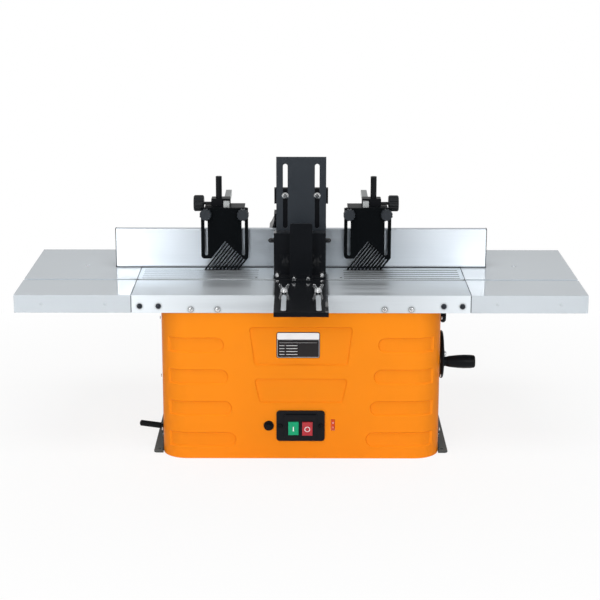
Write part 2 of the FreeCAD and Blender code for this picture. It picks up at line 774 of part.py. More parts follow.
def rib_pressing(z, inner_x, grow):
    # One pressed rib on the right: a round inner end, a straight run and a wrapped corner.
    face = rib_section(z, grow)
    corner_x = BODY_HALF_X - BODY_CORNER_R
    half = RIB_HEIGHT / 2.0
    straight = face.extrude(V(inner_x + half - corner_x, 0, 0))
    centre = V(corner_x, BODY_FRONT_Y + BODY_CORNER_R, 0)
    wrap = face.revolve(centre, AXES["z"], RIB_WRAP_DEG).cut(rib_end_wedge(centre, z, grow))
    start = V(inner_x + half, BODY_FRONT_Y - PRESS_LEAD, z)
    length = PRESS_LEAD + PRESS_DEPTH + grow
    end = cone(half + grow, half + grow - PRESS_SLOPE, start, length, "y")
    return fuse([straight, wrap, end])


def panel_pressing(panel, grow):
    # A tapered panel with round corners, a little wider at its top than at its bottom.
    z0, z1, half0, half1 = panel
    radius = PANEL_CORNER_R + grow
    wires = []
    stations = ((BODY_FRONT_Y - PRESS_LEAD, grow), (BODY_FRONT_Y + PRESS_DEPTH + grow, grow - PRESS_SLOPE))
    for y, add in stations:
        inset = add - radius
        corners = [V(-half0 - inset, y, z0 - inset), V(half0 + inset, y, z0 - inset)]
        corners += [V(half1 + inset, y, z1 + inset), V(-half1 - inset, y, z1 + inset)]
        wires.append(Part.makePolygon(corners + [corners[0]]).makeOffset2D(radius))
    return Part.makeLoft(wires, True, True)


def housing():
    outer = corner_prism(-BODY_HALF_X, BODY_HALF_X, BODY_FRONT_Y, BODY_BACK_Y, 0, UNDER_TOP_Z, BODY_CORNER_R)
    inner = corner_prism(-BODY_HALF_X + BODY_WALL, BODY_HALF_X - BODY_WALL,
                         BODY_INNER_FRONT_Y, BODY_BACK_Y - BODY_WALL, -OVERCUT, UNDER_TOP_Z + OVERCUT,
                         BODY_CORNER_R - BODY_WALL)
    shell = outer.cut(inner)
    backs = []
    cuts = []
    for row, inner_x in enumerate(RIB_INNER_X):
        z = RIB_LOWEST_Z + row * RIB_PITCH
        for grow, bucket in ((BODY_WALL, backs), (0.0, cuts)):
            rib = rib_pressing(z, inner_x, grow)
            bucket += [rib, mirror_x(rib)]
    for panel in (UPPER_PANEL, LOWER_PANEL):
        backs.append(panel_pressing(panel, BODY_WALL))
        cuts.append(panel_pressing(panel, 0.0))
    backs = [back.common(outer) for back in backs]
    shell = fuse([shell] + backs)
    return cut(fuse([shell, lever_tab(), lock_boss()]), cuts + housing_openings())


def lock_boss():
    # A weld nut inside the right wall, for the height lock knob's stud.
    x1 = BODY_HALF_X - BODY_WALL
    return cyl(LOCK_BOSS_R, V(x1 - LOCK_BOSS_T, SPINDLE_Y, LOCK_Z), LOCK_BOSS_T, "x")


def lever_tab():
    # A welded shelf inside the left wall, with the lever's pivot pin standing on it.
    top = LEVER_Z - LEVER_EYE_T / 2.0 - THRUST_GAP
    shelf = box(-BODY_HALF_X + BODY_WALL / 2, LEVER_PIVOT_X + LEVER_TAB_HALF,
                LEVER_PIVOT_Y, LEVER_PIVOT_Y + 2 * LEVER_TAB_HALF, top - LEVER_TAB_T, top)
    seat = cyl(LEVER_TAB_HALF, V(LEVER_PIVOT_X, LEVER_PIVOT_Y, top - LEVER_TAB_T), LEVER_TAB_T)
    pin = cyl(LEVER_PIN_R, V(LEVER_PIVOT_X, LEVER_PIVOT_Y, top), LEVER_EYE_T + 2 * THRUST_GAP)
    return fuse([shelf, seat, pin])


def housing_openings():
    wall_y = BODY_FRONT_Y - OVERCUT
    through = PRESS_DEPTH + BODY_WALL + 2 * OVERCUT
    tools = []
    half_w = SURROUND_WIDTH / 2.0
    half_h = SURROUND_HEIGHT / 2.0
    tools.append(box(SWITCH_X - half_w, SWITCH_X + half_w, wall_y, wall_y + through,
                     SWITCH_Z - half_h, SWITCH_Z + half_h))
    for x in (-SWITCH_SCREW_SPAN / 2, SWITCH_SCREW_SPAN / 2):
        tools.append(cyl(SCREW_SHANK_R, V(SWITCH_X + x, wall_y, SWITCH_Z), through, "y"))
    tools.append(cyl(RESET_BODY_R, V(RESET_X, wall_y, RESET_Z), through, "y"))
    half_slot = SPEED_WHEEL_WIDTH / 2.0 + SPEED_SLOT_CLEARANCE
    reach = SPEED_WHEEL_R - SPEED_WHEEL_PROUD
    half_chord = math.sqrt(SPEED_WHEEL_R ** 2 - (reach - BODY_WALL) ** 2) + SPEED_SLOT_CLEARANCE
    tools.append(box(SPEED_X - half_slot, SPEED_X + half_slot, wall_y, wall_y + through,
                     SPEED_Z - half_chord, SPEED_Z + half_chord))
    for x in SKIRT_SCREW_X:
        for side in (-1, 1):
            tools.append(cyl(SCREW_SHANK_R, V(side * x, wall_y, TOP - SKIRT_SCREW_DROP), TABLE_DEPTH, "y"))
    tools.append(cyl(CRANK_SHAFT_R + SHAFT_HOLE_GAP, V(BODY_HALF_X - BODY_WALL - OVERCUT, CRANK_Y, CRANK_Z),
                     BODY_WALL + 2 * OVERCUT, "x"))
    lock_depth = LOCK_BOSS_T + BODY_WALL
    tools.append(cyl(LOCK_STUD_R + SHAFT_CLEARANCE, V(BODY_HALF_X - lock_depth - OVERCUT, SPINDLE_Y, LOCK_Z),
                     lock_depth + 2 * OVERCUT, "x"))
    tools.append(cyl(GLAND_THREAD_R, V(GLAND_X, BODY_BACK_Y - BODY_WALL - OVERCUT, GLAND_Z),
                     BODY_WALL + 2 * OVERCUT, "y"))
    for y in (-RAIL_SCREW_Y, RAIL_SCREW_Y):
        tools.append(cyl(SCREW_SHANK_R, V(-BODY_HALF_X - OVERCUT, y, RAIL_SCREW_Z),
                         2 * (BODY_HALF_X + OVERCUT), "x"))
    return tools + [lever_slot()] + vents()


def lever_slot():
    # A slot in the left wall that lets the lever swing through its range.
    half = LEVER_ROD_R + LEVER_SLOT_MARGIN
    reach = -BODY_HALF_X - LEVER_PIVOT_X
    places = []
    for turn in (-LEVER_SWING_DEG, 0.0):
        slope = math.tan(math.radians(LEVER_SWEEP_DEG + turn))
        places += [LEVER_PIVOT_Y - reach * slope, LEVER_PIVOT_Y - (reach + BODY_WALL) * slope]
    return box(-BODY_HALF_X - 3, -BODY_HALF_X + 3 * BODY_WALL, min(places) - half, max(places) + half,
               LEVER_Z - half, LEVER_Z + half)


def vents():
    # Two rows of upright cooling slots in the back wall.
    slots = []
    first = -VENT_PITCH * (VENT_COUNT - 1) / 2.0
    for z in VENT_Z:
        for i in range(VENT_COUNT):
            x = first + i * VENT_PITCH
            start = V(x, BODY_BACK_Y - BODY_WALL - OVERCUT, z - VENT_LENGTH / 2)
            end = V(x, BODY_BACK_Y - BODY_WALL - OVERCUT, z + VENT_LENGTH / 2)
            slots.append(long_slot(VENT_WIDTH, start, end, BODY_WALL + 2 * OVERCUT, "y"))
    return slots


def foot_rail():
    # The right rail: an angle with its upright leg against the side wall.
    half = RAIL_LENGTH / 2.0
    flange = box(BODY_HALF_X, BODY_HALF_X + RAIL_REACH, -half, half, 0, RAIL_T)
    outer = BODY_HALF_X + RAIL_REACH
    edges = [e for e in flange.Edges if abs(e.tangentAt(e.FirstParameter).z) > 0.99
             and abs(e.CenterOfMass.x - outer) < 0.1]
    flange = flange.makeFillet(RAIL_CORNER_R, edges)
    flat_half = BODY_BACK_Y - BODY_CORNER_R
    leg = box(BODY_HALF_X, BODY_HALF_X + RAIL_T, -flat_half, flat_half, 0, RAIL_LEG)
    tools = []
    for y in (-BENCH_HOLE_Y, -SPARE_HOLE_Y, SPARE_HOLE_Y, BENCH_HOLE_Y):
        tools.append(cyl(BENCH_HOLE_R, V(BENCH_HOLE_X, y, -OVERCUT), RAIL_T + 2 * OVERCUT))
    for y in (-RAIL_SCREW_Y, RAIL_SCREW_Y):
        tools.append(cyl(SCREW_SHANK_R, V(BODY_HALF_X - OVERCUT, y, RAIL_SCREW_Z), RAIL_T + 2 * OVERCUT, "x"))
    return cut(fuse([flange, leg]), tools)


def housing_screws():
    # Pan head screws: table to housing, switch to housing and rails to housing.
    screws = skirt_screw_set(SKIRT_SCREW_X, SKIRT_SCREW_DROP, SKIRT_T + BODY_WALL + SCREW_GRIP)
    for x in (-SWITCH_SCREW_SPAN / 2, SWITCH_SCREW_SPAN / 2):
        screw = pan_screw(SCREW_HEAD_R, SCREW_HEAD_T, SCREW_SHANK_R, SWITCH_FLANGE_T + BODY_WALL + SCREW_GRIP)
        screws.append(moved(screw, SWITCH_X + x, BODY_FRONT_Y - SWITCH_FLANGE_T, SWITCH_Z))
    side = pan_screw(SCREW_HEAD_R, SCREW_HEAD_T, SCREW_SHANK_R, RAIL_T + BODY_WALL + SCREW_GRIP)
    side = side.rotated(V(0, 0, 0), AXES["z"], 90)
    for y in (-RAIL_SCREW_Y, RAIL_SCREW_Y):
        right = moved(side, BODY_HALF_X + RAIL_T, y, RAIL_SCREW_Z)
        screws += [right, mirror_x(right)]
    return screws


# Switch, reset button and speed wheel


def button_places():
    middle = SWITCH_X + BUTTON_OFFSET_X
    return {"start": middle - BUTTON_SPAN / 2.0, "stop": middle + BUTTON_SPAN / 2.0}


def switch_housing():
    half_w = SWITCH_WIDTH / 2.0
    half_h = SWITCH_HEIGHT / 2.0
    y1 = BODY_FRONT_Y
    y0 = y1 - SWITCH_FLANGE_T
    flange = box(SWITCH_X - half_w, SWITCH_X + half_w, y0, y1, SWITCH_Z - half_h, SWITCH_Z + half_h)
    flange = round_edges_along(flange, "y", SWITCH_CORNER_R)
    face_y = y0 - SURROUND_T
    half_w = SURROUND_WIDTH / 2.0
    half_h = SURROUND_HEIGHT / 2.0
    fit = BUTTON_CLEARANCE
    body = box(SWITCH_X - half_w + fit, SWITCH_X + half_w - fit, face_y, y1 + SWITCH_BOX_DEPTH,
               SWITCH_Z - half_h + fit, SWITCH_Z + half_h - fit)
    body = round_edges_along(body, "y", SURROUND_CORNER_R)
    tools = []
    well = STOP_PROUD + BUTTON_DEPTH + BUTTON_TRAVEL
    half_width = BUTTON_WIDTH / 2.0 + fit
    half_height = BUTTON_HEIGHT / 2.0 + fit
    for x in button_places().values():
        tools.append(box(x - half_width, x + half_width, face_y - OVERCUT, face_y + well,
                         BUTTON_CENTRE_Z - half_height, BUTTON_CENTRE_Z + half_height))
    for x in (-SWITCH_SCREW_SPAN / 2, SWITCH_SCREW_SPAN / 2):
        tools.append(cyl(SCREW_SHANK_R, V(SWITCH_X + x, y0 - OVERCUT, SWITCH_Z),
                         SWITCH_FLANGE_T + 2 * OVERCUT, "y"))
    return cut(fuse([flange, body]), tools)


def switch_button(x, proud):
    face_y = BODY_FRONT_Y - SWITCH_FLANGE_T - SURROUND_T - proud
    cap = box(x - BUTTON_WIDTH / 2, x + BUTTON_WIDTH / 2, face_y, face_y + proud + BUTTON_DEPTH,
              BUTTON_CENTRE_Z - BUTTON_HEIGHT / 2, BUTTON_CENTRE_Z + BUTTON_HEIGHT / 2)
    front = [e for e in cap.Edges if abs(e.CenterOfMass.y - face_y) < 0.01]
    return cap.makeFillet(BUTTON_EDGE_R, front)


def reset_collar():
    y1 = BODY_FRONT_Y
    collar_place = V(RESET_X, y1 - RESET_COLLAR_T, RESET_Z)
    collar = cone(RESET_COLLAR_R - RESET_COLLAR_TAPER, RESET_COLLAR_R, collar_place, RESET_COLLAR_T, "y")
    body = cyl(RESET_BODY_R, V(RESET_X, y1, RESET_Z), RESET_BODY_DEPTH, "y")
    bore = cyl(RESET_BUTTON_R + RESET_BUTTON_CLEARANCE, V(RESET_X, y1 - RESET_COLLAR_T - OVERCUT, RESET_Z),
               RESET_HEAD_DEPTH + RESET_STROKE + OVERCUT, "y")
    return cut(fuse([collar, body]), [bore])


def reset_button():
    face = BODY_FRONT_Y - RESET_COLLAR_T - RESET_PROUD
    length = RESET_PROUD + RESET_HEAD_DEPTH
    profile = [(0, 0), (RESET_BUTTON_R - RESET_CROWN, 0), (RESET_BUTTON_R, RESET_CROWN)]
    profile += [(RESET_BUTTON_R, length), (0, length)]
    return revolve(profile, V(RESET_X, face, RESET_Z), "y")


def speed_centre():
    return V(SPEED_X, BODY_FRONT_Y + SPEED_WHEEL_R - SPEED_WHEEL_PROUD, SPEED_Z)


def speed_wheel():
    wheel = fluted_knob(SPEED_WHEEL_R, SPEED_WHEEL_WIDTH, SPEED_FLUTES, SPEED_FLUTE_R, SPEED_CROWN)
    wheel = wheel.cut(cyl(SPEED_PIN_R + SPEED_BORE_CLEARANCE, V(0, 0, -OVERCUT),
                          SPEED_WHEEL_WIDTH + 2 * OVERCUT))
    centre = speed_centre()
    return moved(turned(wheel, "+x"), centre.x - SPEED_WHEEL_WIDTH / 2, centre.y, centre.z)


def speed_control():
    # The potentiometer on the inside of the front wall, with the pin that the wheel turns on.
    centre = speed_centre()
    x0 = centre.x + SPEED_WHEEL_WIDTH / 2 + THRUST_GAP
    half = SPEED_BODY_SIZE / 2.0
    body = box(x0, x0 + SPEED_BODY_T, BODY_INNER_FRONT_Y, centre.y + half, centre.z - half, centre.z + half)
    pin_length = SPEED_WHEEL_WIDTH + 2 * THRUST_GAP
    pin = cyl(SPEED_PIN_R, V(x0 - pin_length, centre.y, centre.z), pin_length, "x")
    return fuse([body, pin])


# Spindle lock lever, height lock knob and cable gland


def lock_lever():
    # Made along -X from its pivot at the origin, then swept back and set in place.
    eye = cyl(LEVER_EYE_R, V(0, 0, -LEVER_EYE_T / 2), LEVER_EYE_T)
    rod_length = LEVER_OUTER_LENGTH - LEVER_ROD_INSET
    outer = cyl(LEVER_ROD_R, V(-rod_length, 0, 0), rod_length, "x")
    inner = cyl(LEVER_ROD_R, V(0, 0, 0), LEVER_INNER_LENGTH, "x")
    crown = LEVER_SLEEVE_CROWN
    sleeve_profile = [(0, 0), (LEVER_SLEEVE_R - crown, 0), (LEVER_SLEEVE_R, crown)]
    sleeve_profile += [(LEVER_SLEEVE_R, LEVER_SLEEVE_LENGTH), (0, LEVER_SLEEVE_LENGTH)]
    sleeve = revolve(sleeve_profile, V(-LEVER_OUTER_LENGTH, 0, 0), "x")
    lever = fuse([eye, outer, inner, sleeve])
    bore = cyl(LEVER_PIN_R + LEVER_PIN_CLEARANCE, V(0, 0, -LEVER_EYE_T), 2 * LEVER_EYE_T)
    lever = lever.cut(bore).rotated(V(0, 0, 0), AXES["z"], -LEVER_SWEEP_DEG)
    return moved(lever, LEVER_PIVOT_X, LEVER_PIVOT_Y, LEVER_Z)


def cable_gland():
    end = GLAND_NUT_T + GLAND_DOME_T
    profile = [(GLAND_BORE_R, -GLAND_THREAD_LENGTH), (GLAND_THREAD_R, -GLAND_THREAD_LENGTH)]
    profile += [(GLAND_THREAD_R, 0), (GLAND_NUT_R, 0), (GLAND_NUT_R, GLAND_NUT_T)]
    profile += [(GLAND_DOME_R, end), (GLAND_BORE_R, end)]
    return revolve(profile, V(GLAND_X, BODY_BACK_Y, GLAND_Z), "y")


def lock_pad_x():
    # The face on the carriage's right side that the lock stud bears on.
    return COLUMN_X + COLUMN_R + SLEEVE_WALL + LOCK_PAD_T


def height_lock_knob():
    knob_x = BODY_HALF_X + LOCK_GAP
    knob = turned(fluted_knob(LOCK_R, LOCK_T, LOCK_FLUTES, LOCK_FLUTE_R, LOCK_CROWN), "+x")
    stud_x = lock_pad_x() + SEAT_GAP
    stud = cyl(LOCK_STUD_R, V(stud_x, SPINDLE_Y, LOCK_Z), knob_x - stud_x + OVERCUT, "x")
    return fuse([moved(knob, knob_x, SPINDLE_Y, LOCK_Z), stud])


# Motor, spindle and lift


def bearing_places():
    upper_z = NOSE_TOP_Z - NOSE_LIP - UPPER_BEARING_WIDTH
    lower_z = MOTOR_BOTTOM_Z + MOTOR_WALL
    return upper_z, lower_z


def motor_housing():
    centre = V(0, SPINDLE_Y, 0)
    upper_z, lower_z = bearing_places()
    lower_top = lower_z + LOWER_BEARING_WIDTH
    upper_top = upper_z + UPPER_BEARING_WIDTH
    bore = UPPER_BEARING_BORE_R + SHAFT_GAP
    throat = bore + BEARING_SHOULDER
    roof_z = MOTOR_TOP_Z - MOTOR_ROOF_T
    inner_r = MOTOR_R - MOTOR_WALL
    lip_r = LOWER_BEARING_R - BEARING_SHOULDER
    lip_z = lower_top + BEARING_LIP
    profile = [(0, MOTOR_BOTTOM_Z), (MOTOR_R - MOTOR_CHAMFER, MOTOR_BOTTOM_Z)]
    profile += [(MOTOR_R, MOTOR_BOTTOM_Z + MOTOR_CHAMFER), (MOTOR_R, MOTOR_TOP_Z), (NOSE_R, MOTOR_TOP_Z)]
    profile += [(NOSE_R, NOSE_TOP_Z), (bore, NOSE_TOP_Z), (bore, upper_top), (UPPER_BEARING_R, upper_top)]
    profile += [(UPPER_BEARING_R, upper_z), (throat, upper_z), (throat, roof_z), (inner_r, roof_z)]
    profile += [(inner_r, lip_z), (lip_r, lip_z), (lip_r, lower_top), (LOWER_BEARING_R, lower_top)]
    profile += [(LOWER_BEARING_R, lower_z), (0, lower_z)]
    return revolve(profile, centre)


def motor_bearings():
    upper_z, lower_z = bearing_places()
    rings = []
    upper = (UPPER_BEARING_R, UPPER_BEARING_BORE_R, UPPER_BEARING_WIDTH, upper_z)
    lower = (LOWER_BEARING_R, LOWER_BEARING_BORE_R, LOWER_BEARING_WIDTH, lower_z)
    for outer, inner, width, z in (upper, lower):
        ring = cyl(outer, V(0, SPINDLE_Y, z), width)
        bore = cyl(inner + BEARING_CLEARANCE, V(0, SPINDLE_Y, z - OVERCUT), width + 2 * OVERCUT)
        rings.append(ring.cut(bore))
    return rings


def spindle():
    # The armature shaft, with its winding core, commutator and collet seat, turned in one piece.
    upper_z, lower_z = bearing_places()
    foot_z = lower_z + SPINDLE_FOOT_GAP
    lower_r = LOWER_BEARING_BORE_R
    upper_r = UPPER_BEARING_BORE_R
    commutator_z = lower_z + LOWER_BEARING_WIDTH + COMMUTATOR_RISE
    commutator_top = commutator_z + COMMUTATOR_LENGTH
    core_z = commutator_top + COMMUTATOR_GAP
    core_top = core_z + ARMATURE_LENGTH
    taper_z = SPINDLE_HEAD_TOP_Z - COLLET_LENGTH
    profile = [(0, foot_z), (lower_r, foot_z), (lower_r, commutator_z), (COMMUTATOR_R, commutator_z)]
    profile += [(COMMUTATOR_R, commutator_top), (lower_r, commutator_top), (lower_r, core_z)]
    profile += [(ARMATURE_R, core_z), (ARMATURE_R, core_top), (upper_r, core_top)]
    profile += [(upper_r, SPINDLE_HEAD_BOTTOM_Z), (SPINDLE_HEAD_R, SPINDLE_HEAD_BOTTOM_Z)]
    profile += [(SPINDLE_HEAD_R, SPINDLE_HEAD_TOP_Z), (COLLET_TOP_R, SPINDLE_HEAD_TOP_Z)]
    profile += [(COLLET_TAPER_R, taper_z), (0, taper_z)]
    return revolve(profile, V(0, SPINDLE_Y, 0))


def cooling_fan():
    z = MOTOR_TOP_Z - FAN_DROP - FAN_HEIGHT
    floor = cyl(FAN_R, V(0, SPINDLE_Y, z), FAN_FLOOR_T)
    hub = cyl(FAN_HUB_R, V(0, SPINDLE_Y, z), FAN_HEIGHT)
    blades = []
    for i in range(FAN_BLADES):
        blade = box(FAN_HUB_R - FAN_BLADE_ROOT, FAN_R - FAN_BLADE_GAP, -FAN_BLADE_T / 2, FAN_BLADE_T / 2,
                    z, z + FAN_HEIGHT)
        blade = blade.rotated(V(FAN_HUB_R, 0, 0), AXES["z"], FAN_BLADE_DEG)
        blade = blade.rotated(V(0, 0, 0), AXES["z"], 360.0 * i / FAN_BLADES)
        blades.append(moved(blade, y=SPINDLE_Y))
    below = V(0, SPINDLE_Y, z - OVERCUT)
    fan = fuse([floor, hub] + blades).common(cyl(FAN_R, below, FAN_HEIGHT + 2 * OVERCUT))
    return fan.cut(cyl(UPPER_BEARING_BORE_R, below, FAN_HEIGHT + 2 * OVERCUT))


def collet():
    # A split collet whose outside taper is the taper of the spindle head.
    z1 = SPINDLE_HEAD_TOP_Z
    z0 = z1 - COLLET_LENGTH
    bore = COLLET_BORE_R + COLLET_BORE_CLEARANCE
    lip_z = z1 + COLLET_LIP_T
    profile = [(bore, z0), (COLLET_TAPER_R, z0), (COLLET_TOP_R, z1)]
    profile += [(COLLET_TOP_R - COLLET_LIP_STEP, lip_z), (bore, lip_z)]
    body = revolve(profile, V(0, SPINDLE_Y, 0))
    slits = []
    for i in range(2):
        slit = box(-COLLET_TOP_R, COLLET_TOP_R, -COLLET_SLIT / 2, COLLET_SLIT / 2,
                   z0 + COLLET_SLIT_START, lip_z + OVERCUT)
        slits.append(moved(slit.rotated(V(0, 0, 0), AXES["z"], 90 * i + 45), y=SPINDLE_Y))
    return cut(body, slits)


def collet_nut():
    corner = COLLET_NUT_FLATS / 2.0 / math.cos(math.pi / 6)
    points = []
    for i in range(6):
        angle = math.pi / 3 * i
        points.append(V(corner * math.cos(angle), SPINDLE_Y + corner * math.sin(angle), NUT_BOTTOM_Z))
    nut = polygon_prism(points, V(0, 0, COLLET_NUT_HEIGHT))
    crown = [(0, NUT_BOTTOM_Z), (corner, NUT_BOTTOM_Z), (corner, NUT_TOP_Z - NUT_CROWN_T)]
    crown += [(corner - NUT_CROWN_STEP, NUT_TOP_Z), (0, NUT_TOP_Z)]
    nut = nut.common(revolve(crown, V(0, SPINDLE_Y, 0)))
    below = NUT_BOTTOM_Z - OVERCUT
    above = NUT_TOP_Z + OVERCUT
    lip_r = COLLET_TOP_R - COLLET_LIP_STEP
    seat = [(0, below), (SPINDLE_HEAD_R, below), (SPINDLE_HEAD_R, SPINDLE_HEAD_TOP_Z)]
    seat += [(COLLET_TOP_R, SPINDLE_HEAD_TOP_Z), (lip_r, SPINDLE_HEAD_TOP_Z + COLLET_LIP_T)]
    seat += [(lip_r, above), (0, above)]
    return nut.cut(revolve(seat, V(0, SPINDLE_Y, 0)))


def guide_columns():
    length = UNDER_TOP_Z - COLUMN_BOTTOM_Z
    return [cyl(COLUMN_R, V(x, SPINDLE_Y, COLUMN_BOTTOM_Z), length) for x in (-COLUMN_X, COLUMN_X)]


def column_tie_plate():
    half = COLUMN_X + COLUMN_R + TIE_PLATE_MARGIN
    depth = COLUMN_R + TIE_PLATE_MARGIN
    plate = corner_prism(-half, half, SPINDLE_Y - depth, SPINDLE_Y + depth,
                         COLUMN_BOTTOM_Z, COLUMN_BOTTOM_Z + TIE_PLATE_T, TIE_CORNER_R)
    holes = [cyl(COLUMN_R, V(x, SPINDLE_Y, 0), TOP) for x in (-COLUMN_X, COLUMN_X)]
    window = cyl(TIE_WINDOW_R, V(0, SPINDLE_Y, 0), TOP)
    return cut(plate, holes + [window])


def motor_carriage():
    # A cast carriage: two sleeves on the columns, a clamp ring for the motor and the lift nut's arm.
    z1 = MOTOR_TOP_Z
    z0 = z1 - CARRIAGE_T
    sleeve_r = COLUMN_R + SLEEVE_WALL
    ring_r = MOTOR_R + CARRIAGE_RING_WALL
    web = box(-COLUMN_X, COLUMN_X, SPINDLE_Y - sleeve_r, SPINDLE_Y + sleeve_r, z0, z1)
    solids = [web, cyl(ring_r, V(0, SPINDLE_Y, z1 - CARRIAGE_RING_HEIGHT), CARRIAGE_RING_HEIGHT)]
    for x in (-COLUMN_X, COLUMN_X):
        solids.append(cyl(sleeve_r, V(x, SPINDLE_Y, z1 - SLEEVE_HEIGHT + CARRIAGE_T), SLEEVE_HEIGHT))
    solids.append(box(-NUT_BOSS_R, NUT_BOSS_R, CRANK_Y, SPINDLE_Y - MOTOR_R, z0, z1))
    pad_half = LIFT_TRAVEL + LOCK_PAD_MARGIN
    solids.append(box(COLUMN_X, lock_pad_x(), SPINDLE_Y - LOCK_PAD_WIDTH / 2, SPINDLE_Y + LOCK_PAD_WIDTH / 2,
                      LOCK_Z - pad_half, LOCK_Z + pad_half))
    solids.append(cyl(NUT_BOSS_R, V(0, CRANK_Y, z1 - NUT_BOSS_HEIGHT / 2 - CARRIAGE_T / 2), NUT_BOSS_HEIGHT))
    tools = [cyl(MOTOR_R, V(0, SPINDLE_Y, 0), TOP), cyl(SCREW_R + SHAFT_CLEARANCE, V(0, CRANK_Y, 0), TOP)]
    tools += [cyl(COLUMN_R + COLUMN_CLEARANCE, V(x, SPINDLE_Y, 0), TOP) for x in (-COLUMN_X, COLUMN_X)]
    return cut(fuse(solids), tools)


# Crank drive


def bevel_gear(bore_r):
    # A 45 degree bevel gear along Z. Its apex is the origin and the gear lies below it.
    pitch_r = GEAR_MODULE * GEAR_TEETH / 2.0
    cone_length = pitch_r * math.sqrt(2.0)
    small = (cone_length - GEAR_FACE) / cone_length
    normal = math.sqrt(0.5)
    add = GEAR_ADDENDUM * GEAR_MODULE
    ded = GEAR_DEDENDUM * GEAR_MODULE
    half_pitch = math.pi * GEAR_MODULE / 4.0 * (1.0 - GEAR_BACKLASH)
    slope = math.tan(math.radians(PRESSURE_ANGLE))
    base = ded + GEAR_ROOT_SINK
    section = [(-base, half_pitch + base * slope), (add, half_pitch - add * slope)]
    corners = []
    for depth, half in section:
        radial = pitch_r + depth * normal
        height = -pitch_r + depth * normal
        corners.append((radial, half, height))
    (r0, w0, h0), (r1, w1, h1) = corners
    outer = [V(r0, -w0, h0), V(r0, w0, h0), V(r1, w1, h1), V(r1, -w1, h1)]
    wires = []
    for scale in (1.0, small):
        points = [p * scale for p in outer]
        wires.append(Part.makePolygon(points + [points[0]]))
    tooth = Part.makeLoft(wires, True, True)
    root_r = pitch_r - ded * normal
    root_h = -pitch_r - ded * normal
    profile = [(0, root_h), (root_r, root_h), (root_r * small, root_h * small), (0, root_h * small)]
    hub = cyl(GEAR_HUB_R, V(0, 0, root_h - GEAR_HUB_LENGTH), GEAR_HUB_LENGTH + OVERCUT)
    teeth = [tooth.rotated(V(0, 0, 0), AXES["z"], 360.0 * i / GEAR_TEETH) for i in range(GEAR_TEETH)]
    gear = fuse([revolve(profile, V(0, 0, 0)), hub] + teeth)
    return gear.cut(cyl(bore_r, V(0, 0, -4 * pitch_r), 8 * pitch_r))


def gear_back():
    # How far the hub's back face lies from the common apex.
    pitch_r = GEAR_MODULE * GEAR_TEETH / 2.0
    return pitch_r + GEAR_DEDENDUM * GEAR_MODULE * math.sqrt(0.5) + GEAR_HUB_LENGTH


def driven_gear():
    return moved(bevel_gear(SCREW_R), 0, CRANK_Y, CRANK_Z)


def driver_gear():
    # Turned half a tooth, so that its gap faces a tooth of the driven gear.
    gear = bevel_gear(CRANK_SHAFT_R).rotated(V(0, 0, 0), AXES["z"], 180.0 / GEAR_TEETH)
    return moved(gear.rotated(V(0, 0, 0), AXES["y"], -90), 0, CRANK_Y, CRANK_Z)


def shelf_top():
    return CRANK_Z - gear_back() - THRUST_GAP


def lead_screw():
    bottom = shelf_top() - BRACKET_SHELF_T
    top = UNDER_TOP_Z - SCREW_TOP_GAP
    journal = cyl(SCREW_JOURNAL_R, V(0, CRANK_Y, bottom), BRACKET_SHELF_T + 2 * THRUST_GAP)
    shoulder = shelf_top() + THRUST_GAP
    return fuse([journal, cyl(SCREW_R, V(0, CRANK_Y, shoulder), top - shoulder)])


def cheek_x():
    return gear_back() + THRUST_GAP


def lift_bracket():
    # Hangs from the table. It carries the lead screw's foot, its head and the crank shaft.
    z1 = shelf_top()
    z0 = z1 - BRACKET_SHELF_T
    x1 = cheek_x() + BRACKET_CHEEK_T
    y0 = CRANK_Y - BRACKET_REACH
    y1 = CRANK_Y + BRACKET_REACH
    plate = box(BRACKET_LEFT_X, x1, y0 - BRACKET_PLATE_T, y0, z0, UNDER_TOP_Z)
    shelf = box(BRACKET_LEFT_X, x1, y0, y1, z0, z1)
    cheek = box(cheek_x(), x1, y0, y1, z1, CRANK_Z + BRACKET_REACH)
    foot_y = CRANK_Y - NUT_BOSS_R - BRACKET_FOOT_GAP
    foot = box(BRACKET_LEFT_X, x1, y0, foot_y, UNDER_TOP_Z - BRACKET_FOOT_T, UNDER_TOP_Z)
    tools = [cyl(SCREW_JOURNAL_R + SHAFT_CLEARANCE, V(0, CRANK_Y, z0 - OVERCUT),
                 BRACKET_SHELF_T + 2 * OVERCUT)]
    tools.append(cyl(CRANK_SHAFT_R + SHAFT_CLEARANCE, V(cheek_x() - OVERCUT, CRANK_Y, CRANK_Z),
                     BRACKET_CHEEK_T + 2 * OVERCUT, "x"))
    return cut(fuse([plate, shelf, cheek, foot]), tools)


def wheel_x():
    return BODY_HALF_X + WHEEL_WALL_GAP


def crank_shaft():
    x0 = gear_back() - GEAR_HUB_LENGTH
    return cyl(CRANK_SHAFT_R, V(x0, CRANK_Y, CRANK_Z), wheel_x() + WHEEL_CENTRE_T / 2 - x0, "x")


